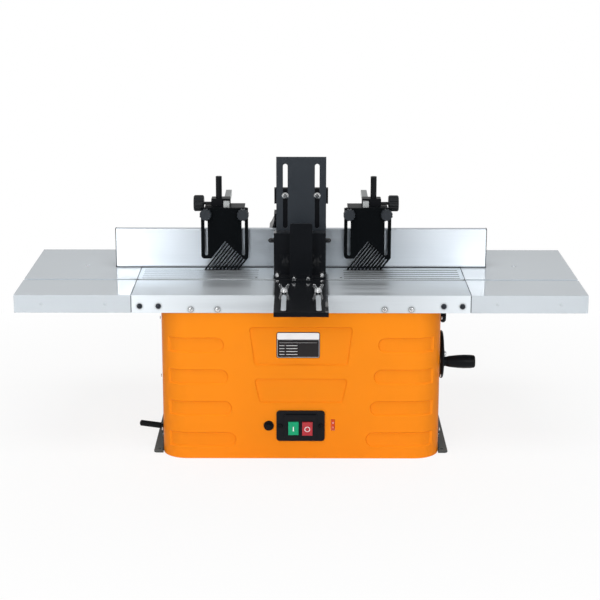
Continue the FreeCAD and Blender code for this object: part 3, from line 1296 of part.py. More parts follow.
def hand_wheel():
    # A dished disc with a rounded rim, a hub and a seat for the handle pin.
    edge = WHEEL_R - WHEEL_RIM_ROUND
    profile = [(0, 0), (edge, 0), (WHEEL_R, WHEEL_RIM_ROUND), (WHEEL_R, WHEEL_RIM_T - WHEEL_RIM_ROUND)]
    profile += [(edge, WHEEL_RIM_T), (WHEEL_R - WHEEL_RIM_WIDTH, WHEEL_RIM_T)]
    profile += [(WHEEL_DISH_R, WHEEL_DISH_T), (WHEEL_HUB_R, WHEEL_CENTRE_T), (0, WHEEL_CENTRE_T)]
    origin = V(wheel_x(), CRANK_Y, CRANK_Z)
    wheel = revolve(profile, origin, "x")
    pin = V(wheel_x(), CRANK_Y + HANDLE_DY, CRANK_Z + HANDLE_DZ)
    pad = cyl(HANDLE_ROOT_R, pin, WHEEL_CENTRE_T, "x")
    tools = [cyl(CRANK_SHAFT_R, origin, WHEEL_CENTRE_T / 2, "x")]
    tools.append(cyl(WHEEL_BOLT_R, origin, 2 * WHEEL_CENTRE_T, "x"))
    tools.append(cyl(HANDLE_PIN_R, V(pin.x - OVERCUT, pin.y, pin.z), 2 * WHEEL_CENTRE_T, "x"))
    return cut(fuse([wheel, pad]), tools)


def hub_screw():
    x0 = wheel_x() + WHEEL_CENTRE_T
    shank = cyl(WHEEL_BOLT_R, V(wheel_x() + WHEEL_CENTRE_T / 2, CRANK_Y, CRANK_Z), WHEEL_CENTRE_T / 2, "x")
    head = cyl(HUB_SCREW_R, V(x0, CRANK_Y, CRANK_Z), HUB_SCREW_RIM_T, "x")
    dome = cone(HUB_SCREW_R, HUB_SCREW_CROWN_R, V(x0 + HUB_SCREW_RIM_T, CRANK_Y, CRANK_Z),
                HUB_SCREW_T - HUB_SCREW_RIM_T, "x")
    return fuse([shank, head, dome])


def handle_start():
    return V(wheel_x() + WHEEL_CENTRE_T, CRANK_Y + HANDLE_DY, CRANK_Z + HANDLE_DZ)


def handle_pin():
    start = handle_start()
    grip_end = HANDLE_END_GAP + HANDLE_LENGTH
    length = WHEEL_CENTRE_T + grip_end - HANDLE_PIN_HEAD_T
    shaft = cyl(HANDLE_PIN_R, V(wheel_x(), start.y, start.z), length, "x")
    head = cyl(HANDLE_PIN_HEAD_R, V(wheel_x() + length, start.y, start.z), HANDLE_PIN_HEAD_T, "x")
    return fuse([shaft, head])


def handle_grip():
    # A barrel grip with a pocket in its end for the pin's head.
    bore = HANDLE_PIN_R + HANDLE_CLEARANCE
    pocket_r = HANDLE_PIN_HEAD_R + HANDLE_END_GAP
    pocket = HANDLE_PIN_HEAD_T + HANDLE_END_GAP
    length = HANDLE_LENGTH
    profile = [(bore, 0), (HANDLE_ROOT_R, 0)] + [(radius, along) for along, radius in HANDLE_BELLY]
    profile += [(HANDLE_END_R, length - HANDLE_END_ROUND), (HANDLE_END_R - HANDLE_END_ROUND, length)]
    profile += [(pocket_r, length), (pocket_r, length - pocket), (bore, length - pocket)]
    start = handle_start()
    return revolve(profile, V(start.x + HANDLE_END_GAP, start.y, start.z), "x")


# Fence


def fence_plate():
    # The right plate: an extrusion with a T-slot along its back.
    z0 = TOP + FENCE_LIFT
    plate = box(FENCE_GAP_HALF, FENCE_OUTER_X, FENCE_FACE_Y, FENCE_BACK_Y, z0, TOP + FENCE_HEIGHT)
    plate = round_edges_along(plate, "x", FENCE_EDGE_R)
    z = TOP + TEE_Z
    x0 = FENCE_GAP_HALF - OVERCUT
    x1 = FENCE_OUTER_X + OVERCUT
    neck_y = FENCE_BACK_Y - TEE_DEPTH
    neck = box(x0, x1, neck_y - OVERCUT, FENCE_BACK_Y + OVERCUT, z - TEE_NECK / 2, z + TEE_NECK / 2)
    head = box(x0, x1, neck_y - TEE_DEPTH, neck_y,
               z - TEE_HEAD / 2, z + TEE_HEAD / 2)
    return cut(plate, [neck, head])


def post_hole(side):
    x = COMB_CENTRES[side] + COMB_SIDE[side] * POST_DX
    return cyl(POST_STUD_R, V(x, POST_Y, TOP + FENCE_HEIGHT - POST_STUD_LENGTH), POST_STUD_LENGTH + OVERCUT)


def hood_section(half_base, half_top, shoulder, height, y):
    # The hood's outline across the table: upright sides, hollow shoulders and a flat top.
    x = HOOD_CENTRE_X
    z0 = TOP + FENCE_LIFT
    left = [V(x - half_base, y, z0), V(x - half_base, y, TOP + shoulder), V(x - half_top, y, TOP + height)]
    right = [V(2 * x - p.x, y, p.z) for p in reversed(left)]
    sag = (half_base - half_top) * HOOD_SAG_SHARE
    drop = (height - shoulder) * HOOD_DROP_SHARE
    edges = [Part.makeLine(left[0], left[1])]
    mid_left = (left[1] + left[2]) * 0.5 + V(sag, 0, -drop)
    edges.append(Part.Arc(left[1], mid_left, left[2]).toShape())
    edges.append(Part.makeLine(left[2], right[0]))
    mid_right = V(2 * x - mid_left.x, y, mid_left.z)
    edges.append(Part.Arc(right[0], mid_right, right[1]).toShape())
    edges += [Part.makeLine(right[1], right[2]), Part.makeLine(right[2], left[0])]
    return Part.Face(Part.Wire(edges))


def hood_slope(inset):
    # Takes the hood's top down towards the port.
    y0 = FENCE_BACK_Y + SEAT_GAP + HOOD_SLOPE_START
    y1 = FENCE_BACK_Y + SEAT_GAP + HOOD_DEPTH
    high = TOP + HOOD_HEIGHT - inset
    low = TOP + HOOD_BACK_HEIGHT - inset
    above = high + 2 * OVERCUT
    behind = y1 + OVERCUT
    points = [V(0, y0, high), V(0, behind, low), V(0, behind, above), V(0, y0, above)]
    wedge = polygon_prism(points, V(4 * HOOD_HALF, 0, 0))
    return moved(wedge, HOOD_CENTRE_X - 2 * HOOD_HALF)


def fence_hood():
    y0 = FENCE_BACK_Y + SEAT_GAP
    y1 = y0 + HOOD_DEPTH
    wall = HOOD_WALL
    outer = hood_section(HOOD_HALF, HOOD_TOP_HALF, HOOD_SHOULDER_Z, HOOD_HEIGHT, y0)
    outer = outer.extrude(V(0, HOOD_DEPTH, 0)).cut(hood_slope(0.0))
    inner = hood_section(HOOD_HALF - wall, HOOD_TOP_HALF - wall, HOOD_SHOULDER_Z - wall, HOOD_HEIGHT - wall,
                         y0 - OVERCUT)
    inner = inner.extrude(V(0, HOOD_DEPTH - wall + OVERCUT, 0)).cut(hood_slope(wall))
    port_z = TOP + PORT_Z
    port = cyl(PORT_R, V(HOOD_CENTRE_X, y1 - wall, port_z), PORT_LENGTH + wall, "y")
    port_bore = cyl(PORT_R - PORT_WALL, V(HOOD_CENTRE_X, y1 - wall - OVERCUT, port_z),
                    PORT_LENGTH + wall + 2 * OVERCUT, "y")
    inner_half = HOOD_HALF - wall
    open_floor = box(HOOD_CENTRE_X - inner_half, HOOD_CENTRE_X + inner_half, y0 - OVERCUT, y1 - wall,
                     TOP, TOP + FENCE_LIFT + 2 * wall)
    solids = [outer, port]
    tools = [inner, port_bore, open_floor]
    for side in (-1, 1):
        solids += fence_carrier(side)
    hood = fuse(solids)
    for x in (-FENCE_BOLT_X, FENCE_BOLT_X):
        half = FENCE_BOLT_R + FENCE_SLOT_CLEARANCE
        start = V(x, FENCE_BOLT_Y - FENCE_TRAVEL - FENCE_SLOT_SPARE, TOP - OVERCUT)
        end = V(x, FENCE_BOLT_Y + FENCE_SLOT_SPARE, TOP - OVERCUT)
        tools.append(long_slot(2 * half, start, end, CARRIER_T + FENCE_LIFT + 2 * OVERCUT, "z"))
    return cut(hood, tools)


def fence_carrier(side):
    # One arm of the hood: an upright plate with the T-shaped rail and a foot on the table.
    y0 = FENCE_BACK_Y + SEAT_GAP
    z0 = TOP + FENCE_LIFT
    inner = HOOD_CENTRE_X + side * (HOOD_HALF - HOOD_WALL)
    x0, x1 = sorted((inner, side * CARRIER_END_X))
    plate = box(x0, x1, y0, y0 + CARRIER_T, z0, TOP + CARRIER_HEIGHT)
    foot = box(x0, x1, y0, y0 + CARRIER_DEPTH, z0, z0 + CARRIER_T)
    z = TOP + TEE_Z
    fit = TEE_CLEARANCE
    hood_edge = HOOD_CENTRE_X + side * (HOOD_HALF + TEE_END_GAP)
    r0, r1 = sorted((hood_edge, side * (CARRIER_END_X - TEE_END_GAP)))
    neck = box(r0, r1, FENCE_BACK_Y - TEE_DEPTH - fit, y0, z - TEE_NECK / 2 + fit, z + TEE_NECK / 2 - fit)
    head = box(r0, r1, FENCE_BACK_Y - 2 * TEE_DEPTH + fit, FENCE_BACK_Y - TEE_DEPTH - fit,
               z - TEE_HEAD / 2 + fit, z + TEE_HEAD / 2 - fit)
    return [plate, foot, neck, head]


def fence_lock_knobs():
    knob = fluted_knob(LOCK_KNOB_R, LOCK_KNOB_T, LOCK_KNOB_LOBES, LOCK_KNOB_LOBE_R, LOCK_KNOB_CROWN)
    foot_top = TOP + FENCE_LIFT + CARRIER_T
    stem_z = foot_top + SEAT_GAP
    tail_z = UNDER_TOP_Z - FENCE_BOLT_TAIL
    solids = []
    for x in (-FENCE_BOLT_X, FENCE_BOLT_X):
        stem = cyl(LOCK_KNOB_STEM_R, V(x, FENCE_BOLT_Y, stem_z), LOCK_KNOB_STEM_T)
        bolt = cyl(FENCE_BOLT_R, V(x, FENCE_BOLT_Y, tail_z), stem_z - tail_z)
        head = moved(knob, x, FENCE_BOLT_Y, stem_z + LOCK_KNOB_STEM_T)
        solids.append(fuse([stem, bolt, head]))
    return solids


# Pressure combs, made for the left side in comb coordinates with X = 0 at the comb's middle


def comb_place(shape, side):
    # The right clamp, post and knob are mirrored. The comb itself is not.
    if COMB_SIDE[side] < 0:
        shape = mirror_x(shape)
    return moved(shape, COMB_CENTRES[side])


def comb_fingers():
    # Sprung fingers that lean along the feed, cut from a root line that falls to the right.
    lean = math.radians(FINGER_DEG)
    root = math.radians(ROOT_DEG)
    along = V(math.cos(lean), 0, math.sin(lean))
    fall = V(math.cos(root), 0, -math.sin(root))
    apex = V(COMB_APEX_DX, COMB_FACE_Y, TOP + COMB_APEX_Z)
    corner = V(COMB_WIDTH / 2.0, COMB_FACE_Y, TOP + COMB_CHAMFER_Z)
    span = corner.sub(apex)
    turn = fall.x * along.z - fall.z * along.x
    reach = (span.x * along.z - span.z * along.x) / turn
    pitch = reach / FINGER_COUNT
    thick = pitch * FINGER_SHARE
    tip_z = TOP + COMB_TIP
    fingers = []
    for i in range(FINGER_COUNT):
        right = apex + fall * (pitch * (i + 1))
        left = right - fall * thick
        points = []
        for p, end in ((left, "root"), (right, "root"), (right, "tip"), (left, "tip")):
            step = FINGER_ROOT if end == "root" else (tip_z - p.z) / along.z
            points.append(p + along * step)
        fingers.append(polygon_prism(points, V(0, COMB_T, 0)))
    return fingers, apex + fall * reach, apex - along * ((apex.z - TOP - COMB_FRAME_BOTTOM) / along.z)


def comb():
    half = COMB_WIDTH / 2.0
    fingers, root_end, frame_end = comb_fingers()
    top = TOP + COMB_TOP
    apex = V(COMB_APEX_DX, COMB_FACE_Y, TOP + COMB_APEX_Z)
    points = [V(-half, COMB_FACE_Y, top), V(half, COMB_FACE_Y, top)]
    points += [V(half, COMB_FACE_Y, TOP + COMB_CHAMFER_Z), root_end, apex, frame_end]
    points.append(V(-half, COMB_FACE_Y, TOP + COMB_FRAME_BOTTOM))
    plate = polygon_prism(points, V(0, COMB_T, 0))
    low_left = [e for e in plate.Edges if abs(e.CenterOfMass.x + half) < 0.1
                and abs(e.CenterOfMass.z - TOP - COMB_FRAME_BOTTOM) < 0.1]
    plate = plate.makeFillet(COMB_CORNER_R, low_left)
    slots = []
    for x in (-half + COMB_SLOT_INSET, half - COMB_SLOT_INSET):
        start = V(x, COMB_FACE_Y - OVERCUT, TOP + COMB_SLOT_BOTTOM + COMB_SLOT_WIDTH / 2)
        end = V(x, COMB_FACE_Y - OVERCUT, top - COMB_STUD_DROP)
        slots.append(long_slot(COMB_SLOT_WIDTH, start, end, COMB_T + 2 * OVERCUT, "y"))
    return cut(fuse([plate] + fingers), slots)


def comb_stud_places():
    half = COMB_WIDTH / 2.0
    return (-half + COMB_SLOT_INSET, half - COMB_SLOT_INSET)


def comb_knobs():
    knob = fluted_knob(COMB_KNOB_R, COMB_KNOB_T, COMB_KNOB_FLUTES, COMB_KNOB_FLUTE_R, COMB_KNOB_CROWN)
    knob = turned(knob, "-y")
    z = TOP + COMB_TOP - COMB_STUD_DROP
    solids = []
    for x in comb_stud_places():
        stud = cyl(COMB_STUD_R, V(x, COMB_FACE_Y - SEAT_GAP, z), COMB_T + 2 * SEAT_GAP + FLANGE_T, "y")
        solids.append(fuse([moved(knob, x, COMB_FACE_Y - SEAT_GAP, z), stud]))
    return solids


def comb_holder():
    # A folded bracket: a flange over the fence, two lugs for the studs and a backing tongue.
    half = COMB_WIDTH / 2.0 - LUG_SIDE_GAP
    top = TOP + COMB_TOP
    y0 = HOLDER_Y
    flange = box(-FLANGE_HALF, FLANGE_HALF, y0, y0 + FLANGE_DEPTH, top - FLANGE_T, top)
    lugs = box(-half, half, y0, y0 + FLANGE_T, top - HOLDER_LUG_DROP, top)
    tongue = box(-HOLDER_HALF, HOLDER_HALF, y0, y0 + FLANGE_T, top - HOLDER_DROP, top)
    notch_half = POST_R + NOTCH_CLEARANCE
    notch = box(POST_DX - notch_half, POST_DX + notch_half, POST_Y - notch_half, y0 + FLANGE_DEPTH + OVERCUT,
                top - FLANGE_T - OVERCUT, top + OVERCUT)
    tools = [notch]
    z = top - COMB_STUD_DROP
    for x in comb_stud_places():
        tools.append(cyl(COMB_STUD_R, V(x, y0 - OVERCUT, z), FLANGE_T + 2 * OVERCUT, "y"))
    return cut(fuse([flange, lugs, tongue]), tools)


def comb_bar():
    # A square bar that runs back through the clamp. Its front foot is screwed to the holder.
    half = BAR_WIDTH / 2.0
    z0 = TOP + BAR_BOTTOM
    bar = box(BAR_DX - half, BAR_DX + half, HOLDER_Y, HOLDER_Y + BAR_LENGTH, z0, z0 + BAR_HEIGHT)
    foot = box(BAR_DX - half, BAR_DX + half, HOLDER_Y, CLAMP_FRONT_Y - SEAT_GAP, TOP + COMB_TOP, z0)
    return fuse([bar, foot])


def comb_clamp():
    x0 = CLAMP_DX - CLAMP_WIDTH / 2
    x1 = CLAMP_DX + CLAMP_WIDTH / 2
    block = box(x0, x1, CLAMP_FRONT_Y, CLAMP_FRONT_Y + CLAMP_DEPTH, TOP + CLAMP_BOTTOM, TOP + CLAMP_TOP)
    block = round_edges_along(block, "y", CLAMP_EDGE_R)
    half = BAR_WIDTH / 2.0 + BAR_CLEARANCE
    clamp_back_y = CLAMP_FRONT_Y + CLAMP_DEPTH
    bar_z = TOP + BAR_BOTTOM - BAR_CLEARANCE
    bar_hole = box(BAR_DX - half, BAR_DX + half, CLAMP_FRONT_Y - OVERCUT, clamp_back_y + OVERCUT,
                   bar_z, bar_z + BAR_HEIGHT + 2 * BAR_CLEARANCE)
    post_bore = cyl(POST_R + POST_CLEARANCE, V(POST_DX, POST_Y, TOP), 2 * CLAMP_TOP)
    stem = cyl(CLAMP_KNOB_STEM_R + SHAFT_CLEARANCE, V(x0 - OVERCUT, POST_Y, TOP + CLAMP_KNOB_Z),
               POST_DX - x0 + OVERCUT, "x")
    return cut(block, [bar_hole, post_bore, stem])


def comb_clamp_knob():
    face_x = CLAMP_DX - CLAMP_WIDTH / 2 - CLAMP_KNOB_GAP
    knob = fluted_knob(CLAMP_KNOB_R, CLAMP_KNOB_T, CLAMP_KNOB_FLUTES, CLAMP_KNOB_FLUTE_R, CLAMP_KNOB_CROWN)
    knob = moved(turned(knob, "-x"), face_x, POST_Y, TOP + CLAMP_KNOB_Z)
    stem_end = POST_DX - POST_R - SEAT_GAP
    stem = cyl(CLAMP_KNOB_STEM_R, V(face_x, POST_Y, TOP + CLAMP_KNOB_Z), stem_end - face_x, "x")
    return fuse([knob, stem])


def comb_post():
    z0 = TOP + FENCE_HEIGHT
    rod = cyl(POST_R, V(POST_DX, POST_Y, z0), POST_TOP - FENCE_HEIGHT)
    return fuse([rod, cyl(POST_STUD_R, V(POST_DX, POST_Y, z0 - POST_STUD_LENGTH), POST_STUD_LENGTH)])


# Front guard


def guard_base():
    half = GUARD_WIDTH / 2.0
    z0 = TOP + GUARD_LIFT
    plate = box(-half, half, GUARD_FRONT_Y, GUARD_BACK_Y, z0, GUARD_TOP_Z)
    lip = box(-half, half, GUARD_FRONT_Y, GUARD_FRONT_Y + GUARD_T, GUARD_TOP_Z - GUARD_LIP, GUARD_TOP_Z)
    tools = []
    for x in (-GUARD_SLOT_X, GUARD_SLOT_X):
        start = V(x, GUARD_SLOT_FRONT_Y, z0 - OVERCUT)
        end = V(x, GUARD_STUD_Y, z0 - OVERCUT)
        tools.append(long_slot(GUARD_SLOT_WIDTH, start, end, GUARD_T + 2 * OVERCUT, "z"))
    return cut(fuse([plate, lip]), tools)


def guard_wing_screws():
    # Wing screws that stand in the table and hold the guard through its slots.
    outline = [V(x, -WING_T / 2, z) for x, z in WING_INNER + WING_OUTER]
    ear = polygon_prism(outline, V(0, WING_T, 0))
    nut = cone(WING_NUT_R, WING_NUT_TOP_R, V(0, 0, 0), WING_NUT_T)
    seat = GUARD_TOP_Z + GUARD_LIFT
    stud_length = seat - UNDER_TOP_Z + WING_NUT_T + WING_STUD_TIP
    stud = cyl(GUARD_STUD_R, V(0, 0, UNDER_TOP_Z - seat), stud_length)
    screw = fuse([nut, stud, ear, mirror_x(ear)])
    return [moved(screw, x, GUARD_STUD_Y, seat) for x in (-GUARD_SLOT_X, GUARD_SLOT_X)]


def guard_mast():
    half = MAST_WIDTH / 2.0
    plate = box(-half, half, MAST_Y, MAST_BACK_Y, GUARD_TOP_Z, TOP + MAST_TOP)
    foot_half = MAST_FOOT_WIDTH / 2.0
    foot = box(-foot_half, foot_half, MAST_Y - MAST_FOOT, MAST_Y, GUARD_TOP_Z, GUARD_TOP_Z + MAST_T)
    tools = []
    for x in (-MAST_SLOT_X, MAST_SLOT_X):
        start = V(x, MAST_Y - OVERCUT, TOP + MAST_SLOT_BOTTOM + MAST_SLOT_WIDTH / 2)
        end = V(x, MAST_Y - OVERCUT, TOP + MAST_SLOT_TOP - MAST_SLOT_WIDTH / 2)
        tools.append(long_slot(MAST_SLOT_WIDTH, start, end, MAST_T + 2 * OVERCUT, "y"))
    return cut(fuse([plate, foot]), tools)


def guard_box():
    # A moulded cover over the mast's foot, with a raised middle, feet and two round pegs.
    x0 = BOX_DX - BOX_WIDTH / 2
    x1 = BOX_DX + BOX_WIDTH / 2
    z0 = GUARD_TOP_Z
    wall = BOX_WALL
    outer = box(x0, x1, BOX_FRONT_Y, MAST_Y, z0, TOP + BOX_TOP)
    inner = box(x0 + wall, x1 - wall, BOX_FRONT_Y + wall, MAST_Y + OVERCUT,
                z0 - OVERCUT, TOP + BOX_TOP - wall)
    boss = box(-BOSS_HALF, BOSS_HALF, BOSS_FRONT_Y, BOX_FRONT_Y, z0, TOP + BOX_TOP)
    boss_inner = box(-BOSS_HALF + wall, BOSS_HALF - wall, BOSS_FRONT_Y + wall, BOX_FRONT_Y + 2 * wall,
                     z0 - OVERCUT, TOP + BOX_TOP - wall)
    hump = box(-BOSS_HALF, BOSS_HALF, BOSS_FRONT_Y, BOSS_FRONT_Y + wall, z0, TOP + BOSS_TOP)
    upper = [e for e in hump.Edges if abs(e.CenterOfMass.z - TOP - BOSS_TOP) < 0.1
             and abs(e.tangentAt(e.FirstParameter).y) > 0.99]
    hump = hump.makeFillet(BOSS_CORNER_R, upper)
    front_foot = box(-BOSS_HALF, BOSS_HALF, BOSS_FOOT_FRONT_Y, BOSS_FRONT_Y, z0, z0 + wall)
    side_feet = box(x0, x1, BOX_FOOT_FRONT_Y, BOX_FRONT_Y, z0, z0 + wall)
    solids = [outer, boss, hump, front_foot, side_feet]
    cover = cut(fuse(solids), [inner, boss_inner])
    pegs = []
    for start, way in ((x0 + wall, -1), (x1 - wall, 1)):
        length = PEG_OUT + wall - PEG_R
        low = start - length if way < 0 else start
        pegs.append(cyl(PEG_R, V(low, PEG_Y, TOP + PEG_Z), length, "x"))
        pegs.append(Part.makeSphere(PEG_R, V(start + way * length, PEG_Y, TOP + PEG_Z)))
    return fuse([cover] + pegs)


def guard_bolts():
    # Domed bolts on the side feet and square nuts on the front foot.
    z = GUARD_TOP_Z + BOX_WALL
    solids = []
    for x in (BOX_DX - BOX_BOLT_SPAN / 2, BOX_DX + BOX_BOLT_SPAN / 2):
        rim = cyl(BOX_BOLT_R, V(x, BOX_BOLT_Y, z), BOX_BOLT_RIM_T)
        dome = cone(BOX_BOLT_R, BOX_BOLT_CROWN_R, V(x, BOX_BOLT_Y, z + BOX_BOLT_RIM_T),
                    BOX_BOLT_T - BOX_BOLT_RIM_T)
        solids.append(fuse([rim, dome]))
    half = BOSS_NUT_SIZE / 2.0
    for x in (-BOSS_NUT_SPAN / 2, BOSS_NUT_SPAN / 2):
        nut = box(x - half, x + half, BOSS_NUT_Y - half, BOSS_NUT_Y + half, z, z + BOSS_NUT_T)
        tip = cyl(BOSS_STUD_R, V(x, BOSS_NUT_Y, z), BOSS_NUT_T + BOSS_STUD_TIP)
        solids.append(fuse([nut, tip]))
    return solids


def guard_slider():
    # The sliding guard behind the mast: ears that run on the mast's edges and a ski-shaped shoe.
    y0 = MAST_BACK_Y + SEAT_GAP
    y1 = y0 + SLIDER_T
    plate = box(-SLIDER_HALF, SLIDER_HALF, y0, y1, TOP + SLIDER_BOTTOM, TOP + SLIDER_TOP)
    edge = MAST_WIDTH / 2.0
    ear_z = TOP + SLIDER_TOP - EAR_HEIGHT
    ears = [box(-edge - EAR_OUT, edge + EAR_OUT, y0, y1, ear_z, TOP + SLIDER_TOP)]
    for way in (-1, 1):
        a, b = sorted((way * (edge + SEAT_GAP), way * (edge + EAR_OUT)))
        ears.append(box(a, b, y0 - EAR_WRAP, y0, ear_z, TOP + SLIDER_TOP))
    z = TOP + SLIDER_BOTTOM
    rise = V(SLIDER_HALF, y0, z + SHOE_RISE)
    flat = V(SHOE_FLAT_HALF, y0, z)
    under = [V(-rise.x, y0, rise.z), V(-flat.x, y0, flat.z), flat, rise]
    over = [V(rise.x, y0, rise.z + SHOE_T), V(flat.x, y0, z + SHOE_T)]
    over += [V(-flat.x, y0, z + SHOE_T), V(-rise.x, y0, rise.z + SHOE_T)]
    shoe = polygon_prism(under + over, V(0, SHOE_REACH, 0))
    corners = box(-SLIDER_HALF, SLIDER_HALF, y0, y1, z, z + SHOE_RISE + SHOE_T)
    skirt = polygon_prism(under + [over[0], over[3]], V(0, SLIDER_T, 0))
    slider = fuse([plate.cut(corners), skirt, shoe] + ears)
    holes = []
    for x in (-MAST_SLOT_X, MAST_SLOT_X):
        holes.append(cyl(SLIDER_BOLT_R, V(x, y0 - OVERCUT, TOP + SLIDER_BOLT_Z), SLIDER_T + 2 * OVERCUT, "y"))
    return cut(slider, holes)


def slider_bolts():
    y0 = MAST_Y - SEAT_GAP
    length = SEAT_GAP + MAST_T + SEAT_GAP + SLIDER_T
    bolt = pan_screw(SLIDER_BOLT_HEAD_R, SLIDER_BOLT_HEAD_T, SLIDER_BOLT_R, length)
    return [moved(bolt, x, y0, TOP + SLIDER_BOLT_Z) for x in (-MAST_SLOT_X, MAST_SLOT_X)]


def build():
    parts = {}
    parts["housing"] = housing()
    parts["table_centre"] = table_centre()
    wing = table_wing()
    parts["table_wing_right"] = wing
    parts["table_wing_left"] = mirror_x(wing)
    parts["table_insert"] = table_insert()
    joint_grip = SKIRT_T + TONGUE_T + SCREW_GRIP
    joint_screws = skirt_screw_set(JOINT_SCREW_X, JOINT_SCREW_DROP, joint_grip)
    parts["pan_head_screws"] = joint_screws + housing_screws()
    rail = foot_rail()
    parts["foot_rails"] = [rail, mirror_x(rail)]
    parts["switch_housing"] = switch_housing()
    places = button_places()
    parts["start_button"] = switch_button(places["start"], START_PROUD)
    parts["stop_button"] = switch_button(places["stop"], STOP_PROUD)
    parts["reset_collar"] = reset_collar()
    parts["reset_button"] = reset_button()
    parts["speed_wheel"] = speed_wheel()
    parts["speed_control"] = speed_control()
    parts["spindle_lock_lever"] = lock_lever()
    parts["cable_gland"] = cable_gland()
    parts["height_lock_knob"] = height_lock_knob()
    parts["guide_columns"] = guide_columns()
    parts["column_tie_plate"] = column_tie_plate()
    parts["lift_bracket"] = lift_bracket()
    parts["motor_carriage"] = motor_carriage()
    parts["motor_housing"] = motor_housing()
    parts["motor_bearings"] = motor_bearings()
    parts["spindle"] = spindle()
    parts["cooling_fan"] = cooling_fan()
    parts["collet"] = collet()
    parts["collet_nut"] = collet_nut()
    parts["lead_screw"] = lead_screw()
    parts["driven_bevel_gear"] = driven_gear()
    parts["driver_bevel_gear"] = driver_gear()
    parts["crank_shaft"] = crank_shaft()
    parts["hand_wheel"] = hand_wheel()
    parts["hub_screw"] = hub_screw()
    parts["handle_pin"] = handle_pin()
    parts["handle_grip"] = handle_grip()
    parts["fence_hood"] = fence_hood()
    plate = fence_plate()
    parts["fence_plate_right"] = cut(plate, [post_hole("right")])
    parts["fence_plate_left"] = cut(mirror_x(plate), [post_hole("left")])
    parts["fence_lock_knobs"] = fence_lock_knobs()
    for side in ("left", "right"):
        parts["comb_post_" + side] = comb_place(comb_post(), side)
        parts["comb_clamp_" + side] = comb_place(comb_clamp(), side)
        parts["comb_clamp_knob_" + side] = comb_place(comb_clamp_knob(), side)
        parts["comb_bar_" + side] = comb_place(comb_bar(), side)
        parts["comb_holder_" + side] = comb_place(comb_holder(), side)
        parts["comb_knobs_" + side] = [comb_place(knob, side) for knob in comb_knobs()]
        parts["comb_" + side] = moved(comb(), COMB_CENTRES[side])
    parts["guard_base"] = guard_base()
    parts["guard_wing_screws"] = guard_wing_screws()
    parts["guard_mast"] = guard_mast()
    parts["guard_box"] = guard_box()
    parts["guard_bolts"] = guard_bolts()
    parts["guard_slider"] = guard_slider()
    parts["slider_bolts"] = slider_bolts()
    return parts


def main():
    os.makedirs("parts", exist_ok=True)
    for name, shape in build().items():
        solids = shape if isinstance(shape, list) else [shape]
        save(name, solids[0] if len(solids) == 1 else Part.makeCompound(solids))


main()
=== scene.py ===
import json
import math

import bmesh
import bpy
from mathutils import Matrix, Vector


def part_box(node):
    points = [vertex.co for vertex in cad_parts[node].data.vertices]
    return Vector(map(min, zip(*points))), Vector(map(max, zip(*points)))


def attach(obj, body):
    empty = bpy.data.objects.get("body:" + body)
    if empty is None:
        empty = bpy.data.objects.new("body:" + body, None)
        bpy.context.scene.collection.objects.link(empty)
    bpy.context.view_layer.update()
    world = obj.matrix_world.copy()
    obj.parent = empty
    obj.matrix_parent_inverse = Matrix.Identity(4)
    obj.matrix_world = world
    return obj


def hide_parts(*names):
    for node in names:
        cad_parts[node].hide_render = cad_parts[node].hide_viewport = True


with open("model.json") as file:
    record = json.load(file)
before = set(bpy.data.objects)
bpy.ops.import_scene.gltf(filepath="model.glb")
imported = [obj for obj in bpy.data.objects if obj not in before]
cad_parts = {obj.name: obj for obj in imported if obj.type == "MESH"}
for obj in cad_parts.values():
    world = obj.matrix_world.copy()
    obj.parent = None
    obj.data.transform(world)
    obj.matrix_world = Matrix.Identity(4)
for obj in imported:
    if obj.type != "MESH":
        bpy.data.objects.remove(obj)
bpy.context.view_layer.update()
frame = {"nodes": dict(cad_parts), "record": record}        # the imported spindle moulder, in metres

MM = 0.001
SIDES = ("left", "right")

# Places that the pieces made here share with the machine
TABLE_LOW, TABLE_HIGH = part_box("table_centre")
BODY_LOW, BODY_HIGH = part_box("housing")
START_LOW, START_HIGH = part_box("start_button")
STOP_LOW, STOP_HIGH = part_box("stop_button")
SWITCH_LOW, SWITCH_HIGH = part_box("switch_housing")
WHEEL_LOW, WHEEL_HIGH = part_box("speed_wheel")
PANEL_DEPTH = 3.0 * MM
PANEL_FLOOR_Y = BODY_LOW.y + PANEL_DEPTH
SWITCH_FLANGE_T = 3.5 * MM
SWITCH_FACE_Y = BODY_LOW.y - SWITCH_FLANGE_T

# Camera at the photograph's angle
CAMERA_PLACE = (-1.9 * MM, -2981.9 * MM, 1026.1 * MM)
CAMERA_PITCH = math.radians(14.61)
CAMERA_ROLL = math.radians(0.09)
CAMERA_LENS = 98.93
CAMERA_SENSOR = 36.0


def add_camera():
    data = bpy.data.cameras.new("camera")
    data.lens = CAMERA_LENS
    data.sensor_width = CAMERA_SENSOR
    camera = bpy.data.objects.new("camera", data)
    bpy.context.scene.collection.objects.link(camera)
    tilt = Matrix.Rotation(math.pi / 2.0 - CAMERA_PITCH, 4, "X")
    roll = Matrix.Rotation(CAMERA_ROLL, 4, "Z")
    camera.matrix_world = Matrix.Translation(CAMERA_PLACE) @ tilt @ roll
    bpy.context.scene.camera = camera


# Small node helpers
def math_node(tree, operation, first, second):
    node = tree.nodes.new("ShaderNodeMath")
    node.operation = operation
    for socket, value in zip(node.inputs, (first, second)):
        if isinstance(value, (int, float)):
            socket.default_value = value
        else:
            tree.links.new(value, socket)
    return node.outputs["Value"]


def ramp(tree, value, start, end, low, high):
    """A value that goes from low to high while another goes from start to end."""
    node = tree.nodes.new("ShaderNodeMapRange")
    tree.links.new(value, node.inputs["Value"])
    node.inputs["From Min"].default_value = start
    node.inputs["From Max"].default_value = end
    node.inputs["To Min"].default_value = low
    node.inputs["To Max"].default_value = high
    return node.outputs["Result"]


def coordinates(tree, kind):
    return tree.nodes.new("ShaderNodeTexCoord").outputs[kind]


